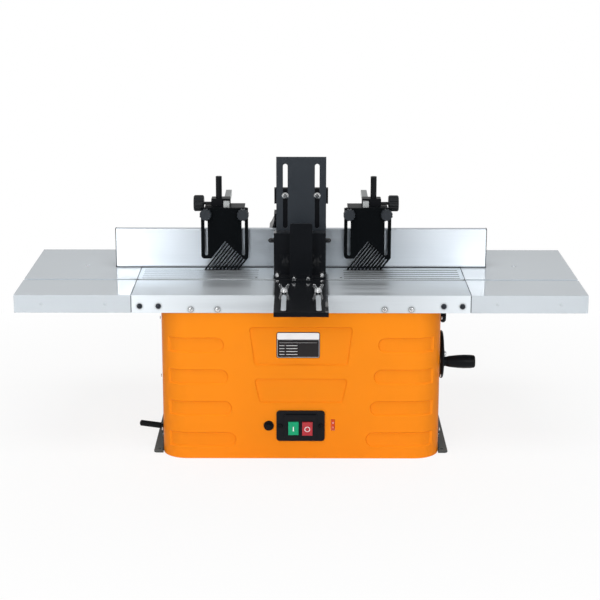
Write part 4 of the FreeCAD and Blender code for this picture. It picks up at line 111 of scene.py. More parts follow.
def split_vector(tree, vector):
    node = tree.nodes.new("ShaderNodeSeparateXYZ")
    tree.links.new(vector, node.inputs["Vector"])
    return node.outputs


def empty_material(name):
    """A new material, its cleared node tree and the socket that takes its shader."""
    material = bpy.data.materials.new(name)
    material.use_nodes = True
    tree = material.node_tree
    tree.nodes.clear()
    output = tree.nodes.new("ShaderNodeOutputMaterial")
    return material, tree, output.inputs["Surface"]


def mix_shaders(tree, share, first, second, surface):
    """Shows the second shader by a share, and the first by the rest."""
    mix = tree.nodes.new("ShaderNodeMixShader")
    tree.links.new(share, mix.inputs["Fac"])
    tree.links.new(first, mix.inputs[1])
    tree.links.new(second, mix.inputs[2])
    tree.links.new(mix.outputs["Shader"], surface)


# Studio: pale floor, white surroundings and soft boxes
FLOOR_REACH = 30.0
FLOOR_COLOUR = (0.93, 0.93, 0.93, 1.0)
FLOOR_WHITE_NEAR = 0.84
FLOOR_NEAR_REACH = 0.45
FLOOR_FAR_REACH = 1.10
FILL_COLOUR = (0.8, 0.8, 0.8, 1.0)
ROOM_FILL = 0.36
SIDE_FILL = 0.14
SIDE_START = 0.35
SIDE_FULL = 0.90
ROOM_WHITE = (1.0, 1.0, 1.0, 1.0)
ROOM_HORIZON = 0.80
ROOM_ABOVE = 0.53
HORIZON_SINE = 0.02
ROOM_ABOVE_SINE = 0.20


def seen_directly(tree):
    """One for rays that show the surroundings as a picture: camera, glossy and transmission rays."""
    path = tree.nodes.new("ShaderNodeLightPath")
    first = math_node(tree, "MAXIMUM", path.outputs["Is Camera Ray"], path.outputs["Is Glossy Ray"])
    return math_node(tree, "MAXIMUM", first, path.outputs["Is Transmission Ray"])


def stage_sheet(name, bm, material):
    """A flat piece of the studio, which isn't part of the machine."""
    mesh = bpy.data.meshes.new(name)
    bm.to_mesh(mesh)
    bm.free()
    mesh.materials.append(material)
    sheet = bpy.data.objects.new(name, mesh)
    bpy.context.scene.collection.objects.link(sheet)
    return sheet


def add_floor():
    """A matte floor that keeps the shadow near the machine and is plain white far from it."""
    material, tree, surface = empty_material("studio_floor")
    matte = tree.nodes.new("ShaderNodeBsdfDiffuse")
    matte.inputs["Color"].default_value = FLOOR_COLOUR
    white = tree.nodes.new("ShaderNodeEmission")
    away = tree.nodes.new("ShaderNodeVectorMath")
    away.operation = "LENGTH"
    tree.links.new(coordinates(tree, "Object"), away.inputs[0])
    share = ramp(tree, away.outputs["Value"], FLOOR_NEAR_REACH, FLOOR_FAR_REACH, FLOOR_WHITE_NEAR, 1.0)
    shown = math_node(tree, "MULTIPLY", seen_directly(tree), share)
    mix_shaders(tree, shown, matte.outputs["BSDF"], white.outputs["Emission"], surface)
    bm = bmesh.new()
    bmesh.ops.create_grid(bm, x_segments=1, y_segments=1, size=FLOOR_REACH)
    stage_sheet("studio_floor", bm, material)


def add_room():
    """White to the camera, greyer above the horizon to gloss, with a fill that is weaker from the sides."""
    world = bpy.data.worlds.new("studio")
    world.use_nodes = True
    bpy.context.scene.world = world
    tree = world.node_tree
    tree.nodes.clear()
    output = tree.nodes.new("ShaderNodeOutputWorld")
    direction = split_vector(tree, coordinates(tree, "Generated"))
    aside = math_node(tree, "ABSOLUTE", direction["X"], 0.0)
    fill = tree.nodes.new("ShaderNodeBackground")
    fill.inputs["Color"].default_value = FILL_COLOUR
    tree.links.new(ramp(tree, aside, SIDE_START, SIDE_FULL, ROOM_FILL, SIDE_FILL), fill.inputs["Strength"])
    picture = tree.nodes.new("ShaderNodeBackground")
    picture.inputs["Color"].default_value = ROOM_WHITE
    gloss = ramp(tree, direction["Z"], HORIZON_SINE, ROOM_ABOVE_SINE, ROOM_HORIZON, ROOM_ABOVE)
    path = tree.nodes.new("ShaderNodeLightPath")
    shown = math_node(tree, "MAXIMUM", gloss, path.outputs["Is Camera Ray"])
    tree.links.new(shown, picture.inputs["Strength"])
    mix_shaders(tree, seen_directly(tree), fill.outputs["Background"], picture.outputs["Background"],
                output.inputs["Surface"])


# Each soft box: place, width and height in metres, power in watts, and whether gloss shows it
SOFT_BOXES = {
    "front_left_box": ((-1.05, -3.0, 1.3), 1.3, 1.6, 31.0, True),
    "front_right_box": ((1.05, -3.0, 1.3), 1.3, 1.6, 23.0, True),
    "overhead_box": ((0.0, -0.95, 2.7), 2.4, 1.2, 34.0, False),
    "back_box": ((0.0, 3.0, 1.5), 2.0, 1.2, 30.0, False),
}
LIGHT_TARGET = Vector((0.0, 0.0, 0.25))


def add_soft_boxes():
    for name, (place, width, height, power, shown) in SOFT_BOXES.items():
        data = bpy.data.lights.new(name, "AREA")
        data.shape = "RECTANGLE"
        data.size = width
        data.size_y = height
        data.energy = power
        lamp = bpy.data.objects.new(name, data)
        lamp.visible_glossy = shown
        bpy.context.scene.collection.objects.link(lamp)
        aim = (LIGHT_TARGET - Vector(place)).to_track_quat("-Z", "Y")
        lamp.matrix_world = Matrix.Translation(place) @ aim.to_matrix().to_4x4()


# A dark card in front of the machine, which only polished surfaces see
CARD_PLACE = (0.03, -1.0, 0.6)
CARD_HALF_WIDTH = 0.42
CARD_HALF_HEIGHT = 0.6
CARD_CORE = 0.10
CARD_COLOUR = (0.02, 0.025, 0.03, 1.0)
CARD_HIDDEN_FROM = ("camera", "diffuse", "transmission", "volume_scatter", "shadow")


def add_card():
    """Dark in its middle and clear towards its sides."""
    material, tree, surface = empty_material("studio_card")
    place = split_vector(tree, coordinates(tree, "Object"))
    aside = math_node(tree, "ABSOLUTE", place["X"], 0.0)
    dark = tree.nodes.new("ShaderNodeEmission")
    dark.inputs["Color"].default_value = CARD_COLOUR
    clear = tree.nodes.new("ShaderNodeBsdfTransparent")
    share = ramp(tree, aside, CARD_CORE, CARD_HALF_WIDTH, 0.0, 1.0)
    mix_shaders(tree, share, dark.outputs["Emission"], clear.outputs["BSDF"], surface)
    bm = bmesh.new()
    bmesh.ops.create_grid(bm, x_segments=1, y_segments=1, size=1.0)
    bmesh.ops.scale(bm, vec=(CARD_HALF_WIDTH, CARD_HALF_HEIGHT, 1.0), verts=bm.verts)
    bmesh.ops.rotate(bm, matrix=Matrix.Rotation(math.pi / 2.0, 3, "X"), verts=bm.verts)
    card = stage_sheet("studio_card", bm, material)
    card.location = CARD_PLACE
    for ray in CARD_HIDDEN_FROM:
        setattr(card, "visible_" + ray, False)


# Shared surface effects
NOISE_LOW = 0.3
NOISE_HIGH = 0.7
EDGE_RADIUS = 0.6 * MM
EDGE_SAMPLES = 6
EDGE_GAIN = 6.0
EDGE_PATCHES_PER_METRE = 60.0
EDGE_PATCH_DETAIL = 3.0
PAINT_DIMPLES_PER_METRE = 700.0
PAINT_CLOUDS_PER_METRE = 9.0
DIMPLE_DETAIL = 2.0
CLOUD_DETAIL = 3.0
TABLE_LINES_PER_METRE = 1500.0
LINE_DETAIL = 4.0
LINE_STRETCH = (0.006, 1.0, 1.0)
BANDS_PER_METRE = 70.0
BAND_DETAIL = 2.0
BAND_STRETCH = (0.02, 1.0, 1.0)
CAVITY_REACH = 5.0 * MM
CAVITY_SAMPLES = 8


def new_group(name, inputs, outputs):
    group = bpy.data.node_groups.new(name, "ShaderNodeTree")
    for label, value in inputs.items():
        socket = group.interface.new_socket(label, in_out="INPUT", socket_type="NodeSocketFloat")
        socket.default_value = value
    for label, kind in outputs.items():
        group.interface.new_socket(label, in_out="OUTPUT", socket_type=kind)
    start = group.nodes.new("NodeGroupInput")
    end = group.nodes.new("NodeGroupOutput")
    return group, start, end


def object_noise(tree, scale, detail, stretch=None):
    place = coordinates(tree, "Object")
    if stretch:
        mapping = tree.nodes.new("ShaderNodeMapping")
        mapping.inputs["Scale"].default_value = stretch
        tree.links.new(place, mapping.inputs["Vector"])
        place = mapping.outputs["Vector"]
    noise = tree.nodes.new("ShaderNodeTexNoise")
    noise.inputs["Detail"].default_value = detail
    tree.links.new(place, noise.inputs["Vector"])
    if isinstance(scale, (int, float)):
        noise.inputs["Scale"].default_value = scale
    else:
        tree.links.new(scale, noise.inputs["Scale"])
    return noise.outputs["Fac"]


def soft_edges_group():
    """Rounds sharp edges in the shading, and marks them for wear and for painted edge highlights."""
    group, start, end = new_group(
        "soft_edges",
        {"Radius": EDGE_RADIUS},
        {"Normal": "NodeSocketVector", "Edge": "NodeSocketFloat"},
    )
    bevel = group.nodes.new("ShaderNodeBevel")
    bevel.samples = EDGE_SAMPLES
    group.links.new(start.outputs["Radius"], bevel.inputs["Radius"])
    surface = group.nodes.new("ShaderNodeNewGeometry")
    dot = group.nodes.new("ShaderNodeVectorMath")
    dot.operation = "DOT_PRODUCT"
    group.links.new(bevel.outputs["Normal"], dot.inputs[0])
    group.links.new(surface.outputs["Normal"], dot.inputs[1])
    away = math_node(group, "SUBTRACT", 1.0, dot.outputs["Value"])
    edge = math_node(group, "MULTIPLY", away, EDGE_GAIN)
    patchy = math_node(group, "MULTIPLY", edge, object_noise(group, EDGE_PATCHES_PER_METRE, EDGE_PATCH_DETAIL))
    clip = group.nodes.new("ShaderNodeClamp")
    group.links.new(patchy, clip.inputs["Value"])
    group.links.new(bevel.outputs["Normal"], end.inputs["Normal"])
    group.links.new(clip.outputs["Result"], end.inputs["Edge"])
    return group


def coat_grain_group():
    """The fine dimples of a sprayed or moulded surface, and its slow cloudiness."""
    group, start, end = new_group(
        "coat_grain",
        {"Dimples per Metre": PAINT_DIMPLES_PER_METRE, "Clouds per Metre": PAINT_CLOUDS_PER_METRE},
        {"Height": "NodeSocketFloat", "Clouds": "NodeSocketFloat"},
    )
    fine = object_noise(group, start.outputs["Dimples per Metre"], DIMPLE_DETAIL)
    slow = object_noise(group, start.outputs["Clouds per Metre"], CLOUD_DETAIL)
    group.links.new(fine, end.inputs["Height"])
    group.links.new(slow, end.inputs["Clouds"])
    return group


def brushed_group():
    """Fine scratches that run along the table."""
    group, start, end = new_group(
        "brushed",
        {"Lines per Metre": TABLE_LINES_PER_METRE},
        {"Lines": "NodeSocketFloat", "Bands": "NodeSocketFloat"},
    )
    lines = object_noise(group, start.outputs["Lines per Metre"], LINE_DETAIL, LINE_STRETCH)
    bands = object_noise(group, BANDS_PER_METRE, BAND_DETAIL, BAND_STRETCH)
    group.links.new(lines, end.inputs["Lines"])
    group.links.new(bands, end.inputs["Bands"])
    return group


def cavity_group():
    """Open surface against grooves and corners, where the light doesn't reach: the mask for painted shade.
    """
    group, start, end = new_group("cavity", {"Reach": CAVITY_REACH}, {"Open": "NodeSocketFloat"})
    near = group.nodes.new("ShaderNodeAmbientOcclusion")
    near.samples = CAVITY_SAMPLES
    group.links.new(start.outputs["Reach"], near.inputs["Distance"])
    group.links.new(near.outputs["AO"], end.inputs["Open"])
    return group


GROUPS = {
    "soft_edges": soft_edges_group(),
    "coat_grain": coat_grain_group(),
    "brushed": brushed_group(),
    "cavity": cavity_group(),
}


def place_group(tree, name, **values):
    node = tree.nodes.new("ShaderNodeGroup")
    node.node_tree = GROUPS[name]
    for label, value in values.items():
        node.inputs[label.replace("_", " ")].default_value = value
    return node.outputs


# How far each kind of surface strays from its mean, in colour and in roughness
PAINT_TINTS = (0.95, 1.05)
PAINT_ROUGHS = (0.90, 1.12)
PLASTIC_TINTS = (0.90, 1.10)
PLASTIC_ROUGHS = (0.88, 1.12)
METAL_TINTS = (0.86, 1.08)
METAL_ROUGHS = (0.80, 1.20)
BRUSHED_ROUGHS = (0.85, 1.15)
# Grain of plastic and metal, and how strongly the relief shows
PLASTIC_DIMPLES_PER_METRE = 1400.0
PLASTIC_CLOUDS_PER_METRE = 25.0
PLASTIC_DEPTH = 0.01 * MM
METAL_CLOUDS_PER_METRE = 40.0
METAL_EDGE_RADIUS = 0.5 * MM
GRAIN_STRENGTH = 0.6
LINE_STRENGTH = 0.5
# Edges: plastic turns a little paler there, partly wear and partly a painted highlight, and metal brighter,
# a painted highlight
PLASTIC_EDGE_WEAR_AND_HIGHLIGHT = 0.15
PALE_SHARE = 0.7
PALE_LIFT = 0.06
METAL_EDGE_PAINTED_HIGHLIGHT = 1.2
# The brushing runs along X, so highlights stretch across it, on the top as on the faces
ACROSS_BRUSHING = (0.05, 1.0, 1.0)
# Painted shade in grooves and corners: the share of the colour left there, and the open-surface marks
# between which it fades
CAVITY_PAINTED_SHADE = 0.06
CAVITY_DARK = 0.60
CAVITY_LIGHT = 0.98


def shade(colour, factor):
    return tuple(channel * factor for channel in colour)


def vary(tree, noise, mean, spread):
    """A value that follows a noise round its mean."""
    return ramp(tree, noise, NOISE_LOW, NOISE_HIGH, mean * spread[0], mean * spread[1])


def tint(tree, mask, low, high):
    """A colour that follows a mask from low to high."""
    node = tree.nodes.new("ShaderNodeMix")
    node.data_type = "RGBA"
    tree.links.new(mask, node.inputs["Factor"])
    for label, colour in (("A", low), ("B", high)):
        socket = next(s for s in node.inputs if s.name == label and s.type == "RGBA")
        if isinstance(colour, tuple):
            socket.default_value = colour + (1.0,)
        else:
            tree.links.new(colour, socket)
    return next(s for s in node.outputs if s.type == "RGBA")


def clouded(tree, mask, colour, tints):
    """A colour that strays between a darker and a lighter tint of itself."""
    return tint(tree, mask, shade(colour, tints[0]), shade(colour, tints[1]))


def bump(tree, height, distance, strength, normal):
    node = tree.nodes.new("ShaderNodeBump")
    node.inputs["Distance"].default_value = distance
    node.inputs["Strength"].default_value = strength
    tree.links.new(height, node.inputs["Height"])
    tree.links.new(normal, node.inputs["Normal"])
    return node.outputs["Normal"]


def new_finish(name):
    material, tree, surface = empty_material(name)
    shader = tree.nodes.new("ShaderNodeBsdfPrincipled")
    tree.links.new(shader.outputs["BSDF"], surface)
    return material, tree, shader


def grained(name, rough, spread, dimples, clouds, depth, edge):
    """A finish with the relief, soft edges and uneven gloss that paint, plastic and plain metal share."""
    material, tree, shader = new_finish(name)
    grain = place_group(tree, "coat_grain", Dimples_per_Metre=dimples, Clouds_per_Metre=clouds)
    edges = place_group(tree, "soft_edges", Radius=edge)
    tree.links.new(vary(tree, grain["Clouds"], rough, spread), shader.inputs["Roughness"])
    relief = bump(tree, grain["Height"], depth, GRAIN_STRENGTH, edges["Normal"])
    tree.links.new(relief, shader.inputs["Normal"])
    return material, tree, shader, grain["Clouds"], edges["Edge"]


def coated(name, colour, rough, gloss, depth=0.02 * MM, worn=(0.5, 0.5, 0.5), wear=0.25,
           edge=EDGE_RADIUS, coat_rough=0.05, specular=0.5):
    """Paint or powder coat over metal, with dimples, clouds and faint wear on its edges."""
    material, tree, shader, clouds, edges = grained(
        name, rough, PAINT_ROUGHS, PAINT_DIMPLES_PER_METRE, PAINT_CLOUDS_PER_METRE, depth, edge)
    paint = clouded(tree, clouds, colour, PAINT_TINTS)
    mask = math_node(tree, "MULTIPLY", edges, wear)
    tree.links.new(tint(tree, mask, paint, worn), shader.inputs["Base Color"])
    shader.inputs["Specular IOR Level"].default_value = specular
    shader.inputs["Coat Weight"].default_value = gloss
    shader.inputs["Coat Roughness"].default_value = coat_rough
    return material


def moulded(name, colour, rough, specular=0.5):
    """Moulded plastic, rubber or print with a fine texture."""
    material, tree, shader, clouds, edges = grained(
        name, rough, PLASTIC_ROUGHS, PLASTIC_DIMPLES_PER_METRE, PLASTIC_CLOUDS_PER_METRE, PLASTIC_DEPTH,
        EDGE_RADIUS)
    plastic = clouded(tree, clouds, colour, PLASTIC_TINTS)
    # Paler edges: partly wear, partly a painted edge highlight
    mask = math_node(tree, "MULTIPLY", edges, PLASTIC_EDGE_WEAR_AND_HIGHLIGHT)
    pale = tuple(channel * PALE_SHARE + PALE_LIFT for channel in colour)
    tree.links.new(tint(tree, mask, plastic, pale), shader.inputs["Base Color"])
    shader.inputs["Specular IOR Level"].default_value = specular
    return material


def bare_metal(name, colour, rough, dimples=500.0, depth=0.006 * MM):
    """Plated, ground, milled or cast metal without a direction."""
    material, tree, shader, clouds, edges = grained(
        name, rough, METAL_ROUGHS, dimples, METAL_CLOUDS_PER_METRE, depth, METAL_EDGE_RADIUS)
    metal = clouded(tree, clouds, colour, METAL_TINTS)
    # Brighter edges: a painted edge highlight
    tree.links.new(tint(tree, edges, metal, shade(colour, METAL_EDGE_PAINTED_HIGHLIGHT)), shader.inputs["Base Color"])
    shader.inputs["Metallic"].default_value = 1.0
    return material


def brushed_metal(name, colour, rough, stretch, lines, depth, streak):
    """Aluminium brushed along the table, with painted shade darkening its grooves."""
    material, tree, shader = new_finish(name)
    shader.inputs["Metallic"].default_value = 1.0
    shader.inputs["Anisotropic"].default_value = stretch
    across = tree.nodes.new("ShaderNodeCombineXYZ")
    for socket, value in zip(across.inputs, ACROSS_BRUSHING):
        socket.default_value = value
    tree.links.new(across.outputs["Vector"], shader.inputs["Tangent"])
    grain = place_group(tree, "brushed", Lines_per_Metre=lines)
    edges = place_group(tree, "soft_edges", Radius=EDGE_RADIUS)
    streaks = clouded(tree, grain["Lines"], colour, (1.0 - streak, 1.0 + streak))
    # Painted shade: the colour darkens in grooves and corners
    groove_shade = place_group(tree, "cavity")
    lit = ramp(tree, groove_shade["Open"], CAVITY_DARK, CAVITY_LIGHT, 0.0, 1.0)
    tree.links.new(tint(tree, lit, shade(colour, CAVITY_PAINTED_SHADE), streaks), shader.inputs["Base Color"])
    tree.links.new(vary(tree, grain["Bands"], rough, BRUSHED_ROUGHS), shader.inputs["Roughness"])
    relief = bump(tree, grain["Lines"], depth, LINE_STRENGTH, edges["Normal"])
    tree.links.new(relief, shader.inputs["Normal"])
    return material


# Finishes by name: the record's material slots, and more for details that differ a little
COATED = {
    "orange_paint": dict(colour=(0.91, 0.260, 0.0105), rough=0.42, gloss=0.08, wear=0.03, edge=0.7 * MM,
                         coat_rough=0.10, specular=0.02),
    "wing_paint": dict(colour=(0.585, 0.64, 0.685), rough=0.35, gloss=1.0, depth=0.003 * MM,
                       coat_rough=0.02, specular=0.2),
    "black_steel": dict(colour=(0.020, 0.026, 0.034), rough=0.32, gloss=0.40, worn=(0.08, 0.08, 0.09),
                        specular=0.45),
    "rail_paint": dict(colour=(0.068, 0.075, 0.072), rough=0.45, gloss=0.1, worn=(0.2, 0.2, 0.2),
                       specular=0.2),
    "motor_paint": dict(colour=(0.03, 0.03, 0.033), rough=0.5, gloss=0.1, worn=(0.2, 0.2, 0.2)),
    "plate_black": dict(colour=(0.013, 0.011, 0.012), rough=0.35, gloss=0.1, worn=(0.1, 0.1, 0.1),
                        specular=0.2),
    "holder_black": dict(colour=(0.005, 0.006, 0.0075), rough=0.42, gloss=0.05, worn=(0.1, 0.1, 0.1),
                         specular=0.12),
    "base_black": dict(colour=(0.005, 0.006, 0.008), rough=0.30, gloss=1.0, worn=(0.05, 0.05, 0.06),
                       depth=0.002 * MM, coat_rough=0.03, specular=0.15),
}
MOULDED = {
    "black_plastic": dict(colour=(0.0035, 0.0042, 0.006), rough=0.36, specular=0.12),
    "black_rubber": dict(colour=(0.004, 0.0045, 0.005), rough=0.45, specular=0.12),
    "fan_plastic": dict(colour=(0.03, 0.03, 0.03), rough=0.55),
    "green_plastic": dict(colour=(0.004, 0.36, 0.165), rough=0.30, specular=0.25),
    "red_plastic": dict(colour=(0.46, 0.030, 0.042), rough=0.30, specular=0.35),
    "dial_plastic": dict(colour=(0.72, 0.075, 0.015), rough=0.40, specular=0.3),
    "white_print": dict(colour=(0.93, 0.935, 0.955), rough=0.35, specular=0.3),
    # Joint strips: the dark of a painted shadow in the joint gaps
    "joint_grey": dict(colour=(0.11, 0.125, 0.14), rough=0.5, specular=0.2),
    "switch_black": dict(colour=(0.004, 0.0045, 0.007), rough=0.32, specular=0.16),
    # Comb knobs: black plastic greyed, a painted sheen on their faces
    "knob_grey": dict(colour=(0.022, 0.027, 0.034), rough=0.42, specular=0.3),
    "knob_black": dict(colour=(0.009, 0.0105, 0.0125), rough=0.42, specular=0.3),
    "comb_black": dict(colour=(0.004, 0.005, 0.006), rough=0.6, specular=0.02),
}
BARE_METAL = {
    "zinc": dict(colour=(0.78, 0.79, 0.80), rough=0.22),
    "ground_steel": dict(colour=(0.55, 0.55, 0.56), rough=0.28),
    "cast_alloy": dict(colour=(0.50, 0.51, 0.52), rough=0.55, dimples=900.0, depth=0.06 * MM),
    "grey_steel": dict(colour=(0.40, 0.42, 0.43), rough=0.40),
    "screw_black": dict(colour=(0.045, 0.05, 0.06), rough=0.35),
    "bar_steel": dict(colour=(0.50, 0.52, 0.52), rough=0.45),
}
BRUSHED = {
    "brushed_table": dict(colour=(0.79, 0.84, 0.88), rough=0.42, stretch=0.70,
                          lines=TABLE_LINES_PER_METRE, depth=0.002 * MM, streak=0.06),
    "fence_aluminium": dict(colour=(0.775, 0.83, 0.885), rough=0.32, stretch=0.9, lines=1200.0,
                            depth=0.00005 * MM, streak=0.04),
}
FINISHES = {}
for make, rows in ((coated, COATED), (moulded, MOULDED), (bare_metal, BARE_METAL), (brushed_metal, BRUSHED)):
    for finish_name, row in rows.items():
        FINISHES[finish_name] = make(finish_name, **row)

# Nodes whose finish differs a little from others of their slot
NODE_FINISHES = {"switch_housing": "switch_black", "guard_base": "base_black", "guard_box": "base_black"}
COMB_FINISHES = {
    "comb_": "comb_black",
    "comb_bar_": "bar_steel",
    "comb_clamp_knob_": "knob_black",
    "comb_holder_": "holder_black",
    "comb_knobs_": "knob_grey",
    "comb_post_": "holder_black",
}
for side in SIDES:
    for stem, finish_name in COMB_FINISHES.items():
        NODE_FINISHES[stem + side] = finish_name


def finish_nodes():
    slots = {row["node"]: row["material_slot"] for row in frame["record"]["subparts"]}
    for name, node in frame["nodes"].items():
        finish = FINISHES[NODE_FINISHES.get(name, slots[name])]
        for held in node.material_slots:
            held.material = finish


# Meshes for the pieces made here
CREASE = math.radians(35.0)
WELD = 0.001 * MM
EDGE_STEPS = 2
FRONT = (0.0, -1.0, 0.0)
BACK = (0.0, 1.0, 0.0)
LEFT = (-1.0, 0.0, 0.0)
RIGHT = (1.0, 0.0, 0.0)
UP = (0.0, 0.0, 1.0)


def new_piece(name, bm, body, finish):
    """A mesh piece that rides on a body, smooth apart from its creases."""
    bmesh.ops.remove_doubles(bm, verts=bm.verts, dist=WELD)
    bmesh.ops.recalc_face_normals(bm, faces=bm.faces)
    mesh = bpy.data.meshes.new(name)
    bm.to_mesh(mesh)
    bm.free()
    mesh.materials.append(FINISHES[finish])
    mesh.shade_smooth()
    mesh.set_sharp_from_angle(angle=CREASE)
    piece = bpy.data.objects.new(name, mesh)
    bpy.context.scene.collection.objects.link(piece)
    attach(piece, body)
    return piece


def facing(place, outward):
    """Stands a shape that was made along +Z at a place, so that it points outward."""
    return Matrix.Translation(place) @ Vector(outward).to_track_quat("Z", "Y").to_matrix().to_4x4()


def stood(bm, place):
    """Takes a shape to its place."""
    bmesh.ops.transform(bm, matrix=place, verts=bm.verts)
    return bm


def moved(bm, x, y, z=0.0):
    bmesh.ops.translate(bm, vec=(x, y, z), verts=bm.verts)
    return bm


def add_shape(bm, shape):
    """Puts a second bmesh into the first."""
    mesh = bpy.data.meshes.new("template")
    shape.to_mesh(mesh)
    shape.free()
    bm.from_mesh(mesh)
    bpy.data.meshes.remove(mesh)


def copies(shape, places):
    """A shape repeated at each place, as one bmesh."""
    bm = bmesh.new()
    for place in places:
        add_shape(bm, stood(shape.copy(), place))
    shape.free()
    return bm


def extruded(bm, faces, along):
    """Draws flat faces out to a solid along a vector."""
    grown = bmesh.ops.extrude_face_region(bm, geom=faces)["geom"]
    far = [item for item in grown if isinstance(item, bmesh.types.BMVert)]
    bmesh.ops.translate(bm, vec=along, verts=far)
    return bm


def thickened(bm, thick):
    """Raises a flat sheet to a thickness along +Z."""
    return extruded(bm, bm.faces[:], (0.0, 0.0, thick))


def outlined(bm, line):
    """Leaves only a thin line along the border of a flat sheet."""
    middle = bm.faces[:]
    bmesh.ops.inset_region(bm, faces=middle, thickness=line, use_even_offset=True, use_boundary=True)
    bmesh.ops.delete(bm, geom=middle, context="FACES")
    return bm


def round_edges(bm, edges, width):
    bmesh.ops.bevel(bm, geom=edges, offset=width, offset_type="OFFSET", segments=EDGE_STEPS, profile=0.5,
                    affect="EDGES", material=-1)


def grow_rim(bm, rim, height, radius=None):
    """Extrudes a closed rim to a height, and rounds it to a radius where one is given."""
    grown = bmesh.ops.extrude_edge_only(bm, edges=rim)["geom"]
    fresh = {item for item in grown if isinstance(item, bmesh.types.BMVert)}
    for vert in fresh:
        if radius:
            vert.co.xy = vert.co.xy.normalized() * radius
        vert.co.z = height
    return [edge for edge in bm.edges if set(edge.verts) <= fresh]


# Pan head screws with a cross recess
SCREW_SIDES = 24
HEAD_R = 4.5 * MM
HEAD_T = 2.6 * MM
CROWN_R = 2.97 * MM
SHOULDER_R = 3.87 * MM
SHOULDER_T = 2.184 * MM
RIM_T = 1.248 * MM
SHANK_R = 2.5 * MM
SHANK_LENGTH = 8.0 * MM
CROSS_ARM = 2.3 * MM
CROSS_HALF = 0.55 * MM
CROSS_DEPTH = 1.5 * MM
ON_AXIS = 0.01
# Radius and height of each ring, from the crown over the rim to the end of the shank
SCREW_RINGS = (
    (CROWN_R, HEAD_T),
    (SHOULDER_R, SHOULDER_T),
    (HEAD_R, RIM_T),
    (HEAD_R, 0.0),
    (SHANK_R, 0.0),
    (SHANK_R, -SHANK_LENGTH),
)
JOINT_SCREW_DROP = 20.0 * MM
JOINT_SCREW_FROM_SEAM = (48.0 * MM, 15.0 * MM)
SKIRT_SCREW_DROP = 25.6 * MM
SKIRT_SCREW_FROM_WALL = (103.0 * MM, 56.0 * MM)
SWITCH_SCREW_SPAN = 73.0 * MM
RAIL_T = 2.5 * MM
RAIL_SCREW_Y = 90.0 * MM
RAIL_SCREW_Z = 14.0 * MM


def cross_head_screw():
    """A screw along +Z whose recess is the circle that it starts from, drawn in to a cross."""
    bm = bmesh.new()
    bmesh.ops.create_circle(bm, cap_ends=True, segments=SCREW_SIDES, radius=1.0)
    for vert in bm.verts:
        along, aside = sorted((abs(vert.co.x), abs(vert.co.y)), reverse=True)
        reach = CROSS_ARM / along
        if aside > ON_AXIS:
            reach = min(reach, CROSS_HALF / aside)
        vert.co *= reach
        vert.co.z = HEAD_T - CROSS_DEPTH
    rim = grow_rim(bm, bm.edges[:], HEAD_T)
    for radius, height in SCREW_RINGS:
        rim = grow_rim(bm, rim, height, radius)
    bmesh.ops.holes_fill(bm, edges=rim, sides=0)
    return bm


def skirt_places(xs, drop):
    """Places on the front and back skirts below the table top, mirrored to left and right."""
    z = TABLE_HIGH.z - drop
    places = []
    for x in xs:
        for side_x in (-x, x):
            places.append(facing((side_x, TABLE_LOW.y, z), FRONT))
            places.append(facing((side_x, TABLE_HIGH.y, z), BACK))
    return places


def add_screws():
    joint_xs = [TABLE_HIGH.x - gap for gap in JOINT_SCREW_FROM_SEAM]
    skirt_xs = [BODY_HIGH.x - gap for gap in SKIRT_SCREW_FROM_WALL]
    switch = (SWITCH_LOW + SWITCH_HIGH) / 2.0
    switch_xs = (switch.x - SWITCH_SCREW_SPAN / 2.0, switch.x + SWITCH_SCREW_SPAN / 2.0)
    rail_places = []
    for y in (-RAIL_SCREW_Y, RAIL_SCREW_Y):
        rail_places.append(facing((BODY_LOW.x - RAIL_T, y, RAIL_SCREW_Z), LEFT))
        rail_places.append(facing((BODY_HIGH.x + RAIL_T, y, RAIL_SCREW_Z), RIGHT))
    groups = {
        "joint_screws": (skirt_places(joint_xs, JOINT_SCREW_DROP), "screw_black"),
        "skirt_screws": (skirt_places(skirt_xs, SKIRT_SCREW_DROP), "zinc"),
        "switch_screws": ([facing((x, SWITCH_FACE_Y, switch.z), FRONT) for x in switch_xs], "black_plastic"),
        "rail_screws": (rail_places, "zinc"),
    }
    for name, (places, finish) in groups.items():
        screws = new_piece(name, copies(cross_head_screw(), places), "base", finish)
        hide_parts("pan_head_screws")


# Bare rating plate: a black plate with a white heading band, a thin border and blank rules
PLATE_CENTRE_X = -5.0 * MM
PLATE_CENTRE_Z = 211.6 * MM
PLATE_WIDTH = 77.2 * MM
PLATE_HEIGHT = 47.8 * MM
PLATE_T = 0.8 * MM
PLATE_CORNER = 4.0 * MM
PLATE_EDGE = 0.25 * MM
PRINT_T = 0.12 * MM
PRINT_MARGIN = 1.3 * MM
BAND_HEIGHT = 11.8 * MM
BAND_GAP = 0.3 * MM
BORDER_WIDTH = 0.6 * MM
HEAD_RULE_DROP = 6.0 * MM
HEAD_RULE_HEIGHT = 0.35 * MM
RULE_COUNT = 4
RULE_HEIGHT = 0.9 * MM
RULE_STEP = 5.4 * MM
RULE_MARGIN = 4.0 * MM
LABEL_RULE = 9.0 * MM
VALUE_RULE = 20.0 * MM
VALUE_RULE_X = 12.0 * MM
CORNER_STEPS = 6


def rounded_sheet(width, height, lower=0.0, upper=0.0):
    """A flat rectangle in XY round its middle, with a radius at its lower and its upper corners."""
    bm = bmesh.new()
    bmesh.ops.create_grid(bm, x_segments=1, y_segments=1, size=0.5)
    bmesh.ops.scale(bm, vec=(width, height, 1.0), verts=bm.verts)
    low_corners = [vert for vert in bm.verts if vert.co.y < 0.0]
    high_corners = [vert for vert in bm.verts if vert.co.y > 0.0]
    for corners, radius in ((low_corners, lower), (high_corners, upper)):
        if radius:
            bmesh.ops.bevel(bm, geom=corners, offset=radius, offset_type="OFFSET", segments=CORNER_STEPS,
                            profile=0.5, affect="VERTICES", material=-1)
    return bm


